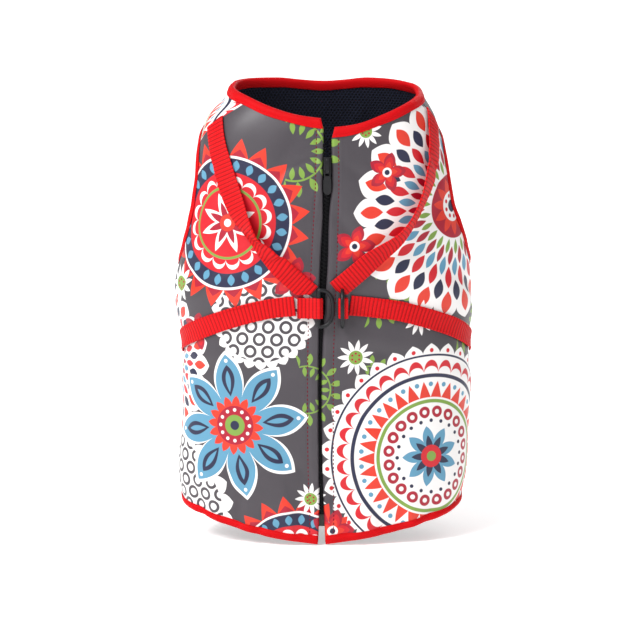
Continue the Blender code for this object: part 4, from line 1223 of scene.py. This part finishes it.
class VEST_OT_chest_panel(bpy.types.Operator):
    """Make the printed chest panel that goes over the shoulders"""

    bl_idname = "vest.chest_panel"
    bl_label = "Chest panel"

    def execute(self, context):
        mesh = chest_mesh(1, TUCK, SEAM_GAP, panel_points)
        thick = size("cloth_thickness")
        panel = make_piece("cloth_chest", mesh, "printed_cloth", "panel_chest", thick=thick)
        return {"FINISHED"}


class VEST_OT_linings(bpy.types.Operator):
    """Make the air mesh linings behind the three panels"""

    bl_idname = "vest.linings"
    bl_label = "Linings"

    def execute(self, context):
        thick = size("lining_thickness")
        inset = TUCK + LINING_INSET
        for side, name in SIDES:
            mesh = back_mesh(side, LINING_COLUMNS, 2, lining_start, inset, lining_points)
            node, panel = "lining_back_" + name, "panel_back_" + name
            lining = make_piece("mesh_back_" + name, mesh, "air_mesh", node, thick=thick)
        mesh = chest_mesh(2, inset, SEAM_GAP, lining_points)
        lining = make_piece("mesh_chest", mesh, "air_mesh", "lining_chest", thick=thick)
        return {"FINISHED"}


# ------------------------------------------------------------ bindings

# Middle line of the folded tape: its share of the width in from the edge, and
# its height
ProfilePoint = namedtuple("ProfilePoint", "inset height")
FOLDED_TAPE = rows_of(
    ProfilePoint,
    (1, -2.5), (0.82, -2.72), (0.5, -2.8), (0.2, -2.6), (0.06, -2), (0, -1.2), (0, -0.3),
    (0.05, 0.5), (0.18, 1.25), (0.38, 1.7), (0.58, 1.65), (0.76, 1.2), (0.84, 0.98), (0.94, 1.08),
    (1, 0.8),
)
STITCH_INSET = 0.8
# How much of its solid's width a tape covers, since its cut edge turns under
TAPE_SHARE = 0.87
TAPE_FOLD = 3.4
TAPE_TOP = 1.05
# How much wider a tape is at its ends by the zip, and over what length
TAPE_SPREAD = 0.16
TAPE_SPREAD_REACH = 22.0


def binding(name, place_at, width, start, end, stations, closed):
    """A folded tape over an edge, wider by the zip, and its stitches' line."""
    rows = np.arange(len(FOLDED_TAPE), dtype=float)
    path = np.linspace(start, end, 800)
    edge = surface.at(*place_at(path, 0.0 * path), np.zeros_like(path))
    run = lengths(edge)
    cut_width = width * 2.0 + TAPE_FOLD

    def wave(along):
        return 0.12 * np.sin(along / 3.1 + np.sin(along / 13.0)) + 0.1 * np.sin(along / 7.7)

    def place(u, v):
        t = between(start, end, v)
        along = np.interp(v, (path - start) / (end - start), run)
        wide = width * (1.0 + 0.03 * np.sin(along / 5.7))
        if not closed:
            from_end = np.minimum(along, run[-1] - along)
            wide = wide * (1.0 + TAPE_SPREAD * bell(from_end / TAPE_SPREAD_REACH))
        inset, height = (
            curve(u * rows[-1], rows, column(FOLDED_TAPE, part)) for part in ("inset", "height")
        )
        inset, height = inset * wide, height + wave(along) * np.clip(height, 0.0, 1.0)
        s, z = place_at(t, inset)
        return surface.at(s, z, height)

    def chart(u, v):
        return u * cut_width, v * run[-1]

    mesh = bmesh.new()
    lay_grid(mesh, 2 * (len(FOLDED_TAPE) - 1), stations, place, chart)
    if closed:
        close_up(mesh)
    thick = size("tape_thickness")
    tape = make_piece(name.replace("binding", "tape"), mesh, "binding_tape", name, thick=thick)
    s, z = place_at(path, width * STITCH_INSET + 0.0 * path)
    height = TAPE_TOP + thick / 2.0 + 0.0 * path
    return surface.at(s, z, height), surface.field(surface.out, s, z)


class VEST_OT_bindings(bpy.types.Operator):
    """Make the folded red tapes round the neck, hem and armholes"""

    bl_idname = "vest.bindings"
    bl_label = "Bindings"

    def execute(self, context):
        hem = float(slit_half(hem_height(0.0))) / GIRTH_SCALE

        def neck_place(share, inset):
            start = between(NECK_SPREAD, SLIT[-1].half, inset / NECK_BINDING) / GIRTH_SCALE
            s = between(start, 2.0 - start, share)
            return s, neck_height(s) - inset

        def hem_place(s, inset):
            return s, hem_height(s) + inset

        neck_width = TAPE_SHARE * NECK_BINDING
        hem_width = TAPE_SHARE * HEM_BINDING
        arm_width = TAPE_SHARE * ARMHOLE_BINDING
        lines = [
            binding("binding_neck", neck_place, neck_width, 0.0, 1.0, 260, False),
            binding("binding_hem", hem_place, hem_width, hem, 2.0 - hem, 340, False),
        ]
        for side, name in SIDES:

            def place_at(angle, inset, side=side):
                s, z = armhole(angle, inset)
                return side * s, z

            node = "binding_armhole_" + name
            lines.append(binding(node, place_at, arm_width, 0.0, tau, 220, True))
        sew("stitches_bindings", lines, "binding_tape", "red_thread", BINDING_STITCH)
        return {"FINISHED"}


# ------------------------------------------------------------ webbing

BAND_COLUMNS = 28
WEBBING_GAP = 0.7
STRAP_STEP = 0.004
STITCH_RISE = 0.06
LINE_INSET = 1.5
BAR_INSET = 1.6
# Where the rows of stitches across a strap lie, as shares of its length
SHOULDER_BARS = (0.035, 0.075)
GIRTH_BARS = (0.1, 0.985)


def strap_middle(table, t):
    rows = np.arange(len(table), dtype=float)
    at = np.clip(t, 0.0, 1.0) * rows[-1]
    return curve(at, rows, column(table, "s")), curve(at, rows, column(table, "z"))


def strap_place(table, t, offset):
    """Place that far beside a strap's middle line, measured on the cloth."""
    s, z = strap_middle(table, t)
    s_low, z_low = strap_middle(table, t - STRAP_STEP)
    s_high, z_high = strap_middle(table, t + STRAP_STEP)
    per_s, per_z = (surface.field(rate, s, z) for rate in (surface.per_s, surface.per_z))
    run_s = (s_high - s_low) * per_s
    run_z = (z_high - z_low) * per_z
    run = np.hypot(run_s, run_z)
    return s - offset * run_z / run / per_s, z + offset * run_s / run / per_z


def cut_share(table, offset, beyond, low, high):
    """Share of the path where lines beside the middle cross a cut."""
    low, high = np.full_like(offset, low), np.full_like(offset, high)
    for _ in range(24):
        middle = (low + high) / 2.0
        past = beyond(*strap_place(table, middle, offset))
        low, high = np.where(past, low, middle), np.where(past, middle, high)
    return (low + high) / 2.0


def band_section(u, width, thick):
    """Round a webbing's section: how far aside, and how high, from its middle."""
    turn = u * tau
    return bent(np.cos(turn), 0.28) * width / 2.0, bent(np.sin(turn), 0.5) * thick / 2.0


def ribbed(along, pitch):
    """0 in the grooves between ribs and 1 on top of them."""
    return np.abs(np.sin(pi * along / pitch)) ** 0.7


class VEST_OT_straps(bpy.types.Operator):
    """Make the four webbing straps of the harness, ribs and all"""

    bl_idname = "vest.straps"
    bl_label = "Straps"

    def execute(self, context):
        width, thick, pitch = size("webbing_width"), size("webbing_thickness"), size("rib_pitch")
        lines = []

        def strap(kind, name, table, side, start_at, end_at, roll, flat_length):
            path = np.linspace(0.0, 1.0, 400)
            s, z = strap_place(table, path, 0.0 * path)
            run = lengths(surface.at(side * s, z, 0.0 * path))
            ends = [float(np.interp(at(np.zeros(1))[0], path, run)) for at in (start_at, end_at)]

            def along_at(share, offset):
                """How far along the strap a point lies, square to its middle line."""
                return np.interp(between(start_at(offset), end_at(offset), share), path, run)

            def points_at(share, aside, over):
                """Points of the webbing, its edge by the zip turned up."""
                away = (share - roll.share) / roll.spread
                flat_ends = np.sqrt(np.maximum(np.sin(pi * share), 0.0))
                turn = np.radians(roll.angle) * bell(away) * flat_ends
                t = between(start_at(aside * np.cos(turn)), end_at(aside * np.cos(turn)), share)
                s, z = strap_place(table, t, aside * np.cos(turn) + over * np.sin(turn))
                rise = (width / 2.0 - aside) * np.sin(turn) + over * np.cos(turn)
                out = surface.field(surface.out, side * s, z)
                return surface.at(side * s, z, CLOTH_OUT + WEBBING_GAP + rise), out

            def place(u, v):
                aside, up = band_section(u, width, thick)
                along = along_at(v, aside)
                up = up * (0.74 + 0.4 * ribbed(along, pitch))
                curl = 0.18 * np.sin(along / 9.0) * aside / (width / 2.0)
                return points_at(v, aside, up + thick / 2.0 + curl)[0]

            def chart(u, v):
                aside = band_section(u, width, thick)[0]
                return aside + width / 2.0, along_at(v, aside)

            mesh = bmesh.new()
            lay_grid(mesh, BAND_COLUMNS, int((ends[1] - ends[0]) / 0.45), place, chart)
            close_up(mesh, caps=True)
            piece = make_piece("webbing_" + kind + name, mesh, "webbing", "strap_" + kind + name)
            flat, panel = (width * MM, flat_length), "panel_back_" + name

            def line(share_low, share_high, aside):
                share = np.linspace(share_low, share_high, 120)
                lines.append(points_at(share, np.full_like(share, aside), thick + STITCH_RISE))

            def bar(share):
                edge = width / 2.0 - BAR_INSET
                aside = np.linspace(-edge, edge, 20)
                lines.append(points_at(np.full_like(aside, share), aside, thick + STITCH_RISE))

            return line, bar

        for side, name, shoulder, girth, roll in (
            (-1.0, "left", SHOULDER_STRAP_LEFT, GIRTH_STRAP_LEFT, LEFT_STRAP_ROLL),
            (1.0, "right", SHOULDER_STRAP_RIGHT, GIRTH_STRAP_RIGHT, RIGHT_STRAP_ROLL),
        ):

            def past_seam(s, z, side=side):
                return s < seam_at(z, side) - GAP / GIRTH_SCALE

            def past_girth(s, z, girth=girth):
                return z < read(girth, s, "s", "z") + width / 2.0 + 0.9

            def start_at(offset, shoulder=shoulder, past_seam=past_seam):
                return cut_share(shoulder, offset, past_seam, 0.0, 0.5)

            def end_at(offset, shoulder=shoulder, past_girth=past_girth):
                return cut_share(shoulder, offset, past_girth, 0.5, 1.0)

            line, bar = strap("shoulder_", name, shoulder, side, start_at, end_at, roll, 0.152)
            for share in SHOULDER_BARS:
                bar(share)
            line, bar = strap(
                "girth_", name, girth, side, np.zeros_like, np.ones_like, Roll(0.0, 0.5, 1.0), 0.13
            )
            edge = width / 2.0 - LINE_INSET
            for aside in (edge, -edge):
                line(GIRTH_BARS[0], 1.0, aside)
            for share in GIRTH_BARS:
                bar(share)
        sew("stitches_straps", lines, "webbing", "red_thread", STRAP_STITCH)
        return {"FINISHED"}


# ------------------------------------------------------------ rings and loops

LOOP_SLACK = 0.35
LOOP_HALF_THICK = 0.75
LOOP_SLOPE = 12.0
SHORT_TAIL = 8.0
LoopAt = namedtuple("LoopAt", "name x lean side strap spare")
LOOPS = (
    LoopAt("left", LEFT_RING_X, RING_LEAN, 1.0, GIRTH_STRAP_LEFT, 0.6),
    LoopAt("right", RIGHT_RING_X, -RING_LEAN, -1.0, GIRTH_STRAP_RIGHT, 1.6),
)


def joint_point(name):
    """Where the record says a joint's axis lies, in millimetres."""
    found = [joint for joint in frame["joints"] if joint["name"] == name]
    return np.array(found[0]["pos_m"]) / MM


def ring_outline(count):
    """D outline of a ring, as reach and height, rounded at its two corners."""
    angle = np.linspace(-pi / 2.0, pi / 2.0, count * 3)
    reach = RING_REACH * np.abs(np.cos(angle)) ** 0.75
    height = RING_HALF * bent(np.sin(angle), 0.85)
    bar = np.linspace(RING_HALF, -RING_HALF, count)[1:-1]
    points = np.concatenate([np.stack([reach, height], -1), np.stack([0.0 * bar, bar], -1)])
    for _ in range(3):
        points = (np.roll(points, 1, 0) + 2.0 * points + np.roll(points, -1, 0)) / 4.0
    closed = np.concatenate([points, points[:1]])
    run = lengths(closed)
    at = np.linspace(0.0, run[-1], count * 4 + 1)
    return read_along(at, run, closed)[:-1]


def ring_mesh(origin, reach_way, out_way, bar_way):
    """Round wire swept along the D outline."""
    outline = ring_outline(36)
    count = len(outline)
    run = np.roll(outline, -1, 0) - np.roll(outline, 1, 0)
    run /= np.linalg.norm(run, axis=1, keepdims=True)

    def place(u, v):
        k = np.round(v * count).astype(int) % count
        turn = u * tau
        beside = np.stack([run[k, 1], -run[k, 0]], -1)
        flat = outline[k] + beside * RING_WIRE * np.cos(turn)[:, None]
        deep = RING_WIRE * np.sin(turn)[:, None]
        return origin + flat[:, :1] * reach_way + flat[:, 1:] * bar_way + deep * out_way

    mesh = bmesh.new()
    lay_grid(mesh, 20, count, place)
    close_up(mesh)
    bmesh.ops.recalc_face_normals(mesh, faces=mesh.faces)
    return mesh


def loop_path(side, tail):
    """Middle line of a webbing loop round the bar, as reach and outward."""
    radius = RING_WIRE + LOOP_SLACK + LOOP_HALF_THICK
    floor = -radius + 2.0 * LOOP_HALF_THICK + LOOP_SLACK
    angle = np.linspace(-pi / 2.0, pi / 2.0, 17)
    wrap = [(side * radius * cos(a), radius * sin(a)) for a in angle]
    points = [(-side * tail, -radius), (-side * tail * 0.5, -radius)] + wrap
    if tail < SHORT_TAIL:
        points += [(-side * tail * 0.6, radius * 0.97), (-side * tail, radius * 0.8)]
    else:
        points += [(-side * LOOP_SLOPE * 0.35, between(radius, floor, 0.34))]
        points += [(-side * LOOP_SLOPE * 0.7, between(radius, floor, 0.84))]
        points += [(-side * LOOP_SLOPE, floor), (-side * tail, floor)]
    points = np.array(points)
    at = lengths(points)
    fine = np.linspace(0.0, at[-1], int(at[-1] / 0.35))
    smooth = read_along(fine, at, points)
    for _ in range(6):
        smooth[1:-1] = (smooth[:-2] + 2.0 * smooth[1:-1] + smooth[2:]) / 4.0
    return smooth


class VEST_OT_rings(bpy.types.Operator):
    """Make the two D-rings and the webbing loops that hold them"""

    bl_idname = "vest.rings"
    bl_label = "Rings and loops"

    def execute(self, context):
        width, thick, pitch = size("webbing_width"), size("webbing_thickness"), size("rib_pitch")
        for name, x, lean, side, strap, spare in LOOPS:
            reach = np.array([1.0, 0.0, 0.0])
            bar = np.array([0.0, sin(lean), cos(lean)])
            out = np.cross(reach, bar)
            origin = joint_point("ring_" + name + "_swing")
            tail = strap[0].s * GIRTH_SCALE * ZIP_STRETCH + side * x - spare
            path = loop_path(side, tail)
            run = lengths(path)
            way = np.gradient(path, axis=0)
            way /= np.linalg.norm(way, axis=1, keepdims=True)

            def place(u, v, path=path, way=way, run=run, origin=origin, bar=bar, out=out):
                aside, up = band_section(u, width, thick)
                at, steps = v * (len(path) - 1), np.arange(len(path))
                here, run_way = (read_along(at, steps, line) for line in (path, way))
                up = up * (0.7 + 0.3 * ribbed(np.interp(at, steps, run), pitch))
                flat = here + np.stack([run_way[:, 1], -run_way[:, 0]], -1) * up[:, None]
                return origin + flat[:, :1] * reach + flat[:, 1:] * out + aside[:, None] * bar

            def chart(u, v, run=run):
                return band_section(u, width, thick)[0] + width / 2.0, v * run[-1]

            mesh = bmesh.new()
            lay_grid(mesh, BAND_COLUMNS, len(path) - 1, place, chart)
            close_up(mesh, caps=True)
            loop = make_piece("webbing_loop_" + name, mesh, "webbing", "loop_" + name)
            flat, ring = (width * MM, float(run[-1]) * MM), "ring_" + name
            ways = (reach, out) if name == "left" else (out, reach)
            make_piece("wire_" + ring, ring_mesh(origin, *ways, bar), "ring_metal", ring, ring)
        return {"FINISHED"}


# ------------------------------------------------------------ zip

SLIDER_TOP = -38.4
SLIDER_FOOT = -50.4
TAPE_BELOW_NECK = 9.2
TAPE_FOOT = -311.95
TAPE_OUTER = 13.0
TAPE_HEIGHT = -1.6
TEETH_FOOT = -302.5
TEETH_HEIGHT = -2.05
TOOTH_ROUNDING = 0.28


def tape_inner(z):
    """How far from the zip's middle a tape starts: closed, by the slider, open."""
    closed = np.where(z > SLIDER_FOOT - 1.25, 4.95, 0.1)
    return np.where(z > SLIDER_TOP + 1.25, 3.0, closed)


def tape_top(side):
    return float(neck_height(side * NEAR_ZIP)) - TAPE_BELOW_NECK


def tooth_shape(long, across, high):
    """A moulded tooth: a block with a rounded head."""
    mesh = bmesh.new()
    bmesh.ops.create_cube(mesh, size=1.0)
    bmesh.ops.scale(mesh, verts=mesh.verts, vec=(long * MM, across * MM, high * MM))
    bmesh.ops.bevel(
        mesh,
        geom=mesh.edges[:],
        offset=TOOTH_ROUNDING * MM,
        segments=2,
        profile=0.5,
        affect="EDGES",
        material=-1,
    )
    return to_data(mesh, "tooth")


def tooth_matrices(side, offset, low, high, shift):
    """Places for one row of teeth, offset from the middle of the zip."""
    matrices = []
    pitch = size("tooth_pitch")
    for z in np.arange(low + shift * pitch, high, pitch):
        s = np.array([side * offset / GIRTH_SCALE / ZIP_STRETCH])
        spots = surface.at(np.repeat(s, 2), np.array([z - 0.5, z + 0.5]), np.full(2, TEETH_HEIGHT))
        out = surface.field(surface.out, s, np.array([z]))[0]
        matrices.append(frame_matrix(spots.mean(0), spots[1] - spots[0], out))
    return matrices


def refined(node, name, slot, width, body="vest"):
    """Make a piece from a hard node, with its edges rounded."""
    mesh = bmesh.new()
    mesh.from_mesh(frame["nodes"][node].data)
    close_up(mesh)
    paired = [edge for edge in mesh.edges if len(edge.link_faces) == 2]
    flat = [edge for edge in paired if edge.calc_face_angle(0.0) < 0.02]
    bmesh.ops.dissolve_edges(mesh, edges=flat, use_verts=False)
    piece = make_piece(name, mesh, slot, node, body)
    bevel = piece.modifiers.new("rounded", "BEVEL")
    bevel.width = width * MM
    bevel.segments = 3
    bevel.limit_method = "ANGLE"
    bevel.angle_limit = radians(28.0)
    bevel.use_clamp_overlap = True


class VEST_OT_zip(bpy.types.Operator):
    """Make the zip: tapes, teeth, slider, pull and end box"""

    bl_idname = "vest.zip"
    bl_label = "Zip"

    def execute(self, context):
        closed = []
        for side, name in SIDES:
            top = tape_top(side)

            def place(u, v, side=side, top=top):
                z = between(TAPE_FOOT, top, v)
                across = u if side > 0.0 else 1.0 - u
                s = side * between(tape_inner(z), TAPE_OUTER, across) / GIRTH_SCALE
                return surface.at(s, z, np.full_like(z, TAPE_HEIGHT))

            def chart(u, v, top=top):
                return u * 10.0, v * (top - TAPE_FOOT)

            mesh = bmesh.new()
            lay_grid(mesh, 8, 196, place, chart)
            tape = make_piece("twill_" + name, mesh, "zip_tape", "zip_tape_" + name, thick=0.8)
            shift = 0.25 - 0.25 * side
            row = tooth_matrices(side, 2.7, SLIDER_TOP + 0.9, top - 1.8, shift)
            mesh = scattered(tooth_shape(1.25, 2.5, 2.1), row)
            make_piece("teeth_" + name, mesh, "zip_teeth", "zip_teeth_" + name)
            closed += tooth_matrices(side, 0.8, TEETH_FOOT, SLIDER_FOOT - 0.6, shift)
        mesh = scattered(tooth_shape(1.42, 3.1, 2.1), closed)
        make_piece("teeth_closed", mesh, "zip_teeth", "zip_chain")
        refined("zip_slider", "slider", "zip_metal", 0.28)
        refined("zip_pull", "pull_tab", "zip_metal", 0.3, "zip_pull")
        refined("zip_box", "end_box", "zip_box_metal", 0.3)
        return {"FINISHED"}


# ------------------------------------------------------------ stage


TARGET = Vector((-0.00225, 0.0, -0.1667))
CAMERA_AWAY = 3.0
CAMERA_RISE = radians(8.0)
CAMERA_LENS = 225.0
CAMERA_SENSOR = 36.0
WORLD_STRENGTH = 0.46
FLOOR_HALF = 16.0
FLOOR_GAP = 0.001
FLOOR_GLOW = 0.45
Lamp = namedtuple("Lamp", "name kind place size power")
LAMPS = (
    Lamp("key", "AREA", (-1.3, -1.0, 1.0), 0.7, 17.0),
    Lamp("fill", "AREA", (1.5, -1.4, 0.4), 0.9, 3.5),
    Lamp("back", "AREA", (0.8, 1.7, 0.9), 1.0, 13.0),
    Lamp("sun", "SUN", (-0.9, -0.8, 1.4), radians(30.0), 2.5),
)


def aimed(name, data, place):
    """An object at a place, turned towards the vest's middle."""
    made = linked(name, data)
    made.location = place
    made.rotation_euler = (TARGET - made.location).to_track_quat("-Z", "Y").to_euler()
    return made


class VEST_OT_stage(bpy.types.Operator):
    """Make the pale floor, the lights and the camera"""

    bl_idname = "vest.stage"
    bl_label = "Stage"

    def execute(self, context):
        scene = context.scene
        mesh = bmesh.new()
        bmesh.ops.create_grid(mesh, x_segments=12, y_segments=12, size=FLOOR_HALF)
        low = (0.0, 0.0, SOLID_BOX[0][2] - FLOOR_GAP)
        bmesh.ops.translate(mesh, verts=mesh.verts, vec=low)
        floor = linked("floor", to_data(mesh, "floor"))
        # The floor glows a little, painted light that lifts the shadow under the vest
        finish = Finish("pale_floor", 0.9, Emission_Strength=FLOOR_GLOW)
        finish.colour(finish.mix(finish.noise(3.0), (0.86, 0.86, 0.86), (0.88, 0.88, 0.88)))
        floor.data.materials.append(finish.material)

        scene.world = bpy.data.worlds.new("studio")
        scene.world.use_nodes = True
        sky = scene.world.node_tree.nodes["Background"].inputs
        sky[0].default_value = (1.0, 1.0, 1.0, 1.0)
        sky[1].default_value = WORLD_STRENGTH
        scene.view_settings.view_transform = "Standard"

        for lamp in LAMPS:
            light = bpy.data.lights.new(lamp.name, lamp.kind)
            setattr(light, "angle" if lamp.kind == "SUN" else "size", lamp.size)
            light.energy = lamp.power
            aimed(lamp.name, light, Vector(lamp.place))

        camera = bpy.data.cameras.new("camera")
        camera.lens = CAMERA_LENS
        camera.sensor_width = CAMERA_SENSOR
        away = Vector((0.0, -cos(CAMERA_RISE), sin(CAMERA_RISE))) * CAMERA_AWAY
        scene.camera = aimed("camera", camera, TARGET + away)
        return {"FINISHED"}


# ------------------------------------------------------------ panel and start


class VEST_PT_build(bpy.types.Panel):
    """Lists the vest's pieces in the sidebar"""

    bl_idname = "VEST_PT_build"
    bl_label = "Dog vest"
    bl_space_type = "VIEW_3D"
    bl_region_type = "UI"
    bl_category = "Dog vest"

    def draw(self, context):
        for operator in OPERATORS:
            self.layout.operator(operator.bl_idname)
        for group in (context.scene.vest_sizes, context.scene.vest_colours):
            box = self.layout.box()
            for name in group.bl_rna.properties.keys():
                if name not in ("rna_type", "name"):
                    box.prop(group, name)


OPERATORS = (
    VEST_OT_back_panels,
    VEST_OT_chest_panel,
    VEST_OT_linings,
    VEST_OT_bindings,
    VEST_OT_straps,
    VEST_OT_rings,
    VEST_OT_zip,
    VEST_OT_stage,
)
CLASSES = (VestSizes, VestColours, *OPERATORS, VEST_PT_build)


def register():
    for made in CLASSES:
        bpy.utils.register_class(made)
    bpy.types.Scene.vest_sizes = bpy.props.PointerProperty(type=VestSizes)
    bpy.types.Scene.vest_colours = bpy.props.PointerProperty(type=VestColours)


def unregister():
    del bpy.types.Scene.vest_colours
    del bpy.types.Scene.vest_sizes
    for made in reversed(CLASSES):
        bpy.utils.unregister_class(made)


def main():
    register()
    build_finishes()
    for operator in OPERATORS:
        getattr(bpy.ops.vest, operator.bl_idname.split(".")[1])()


if __name__ == "__main__":
    main()
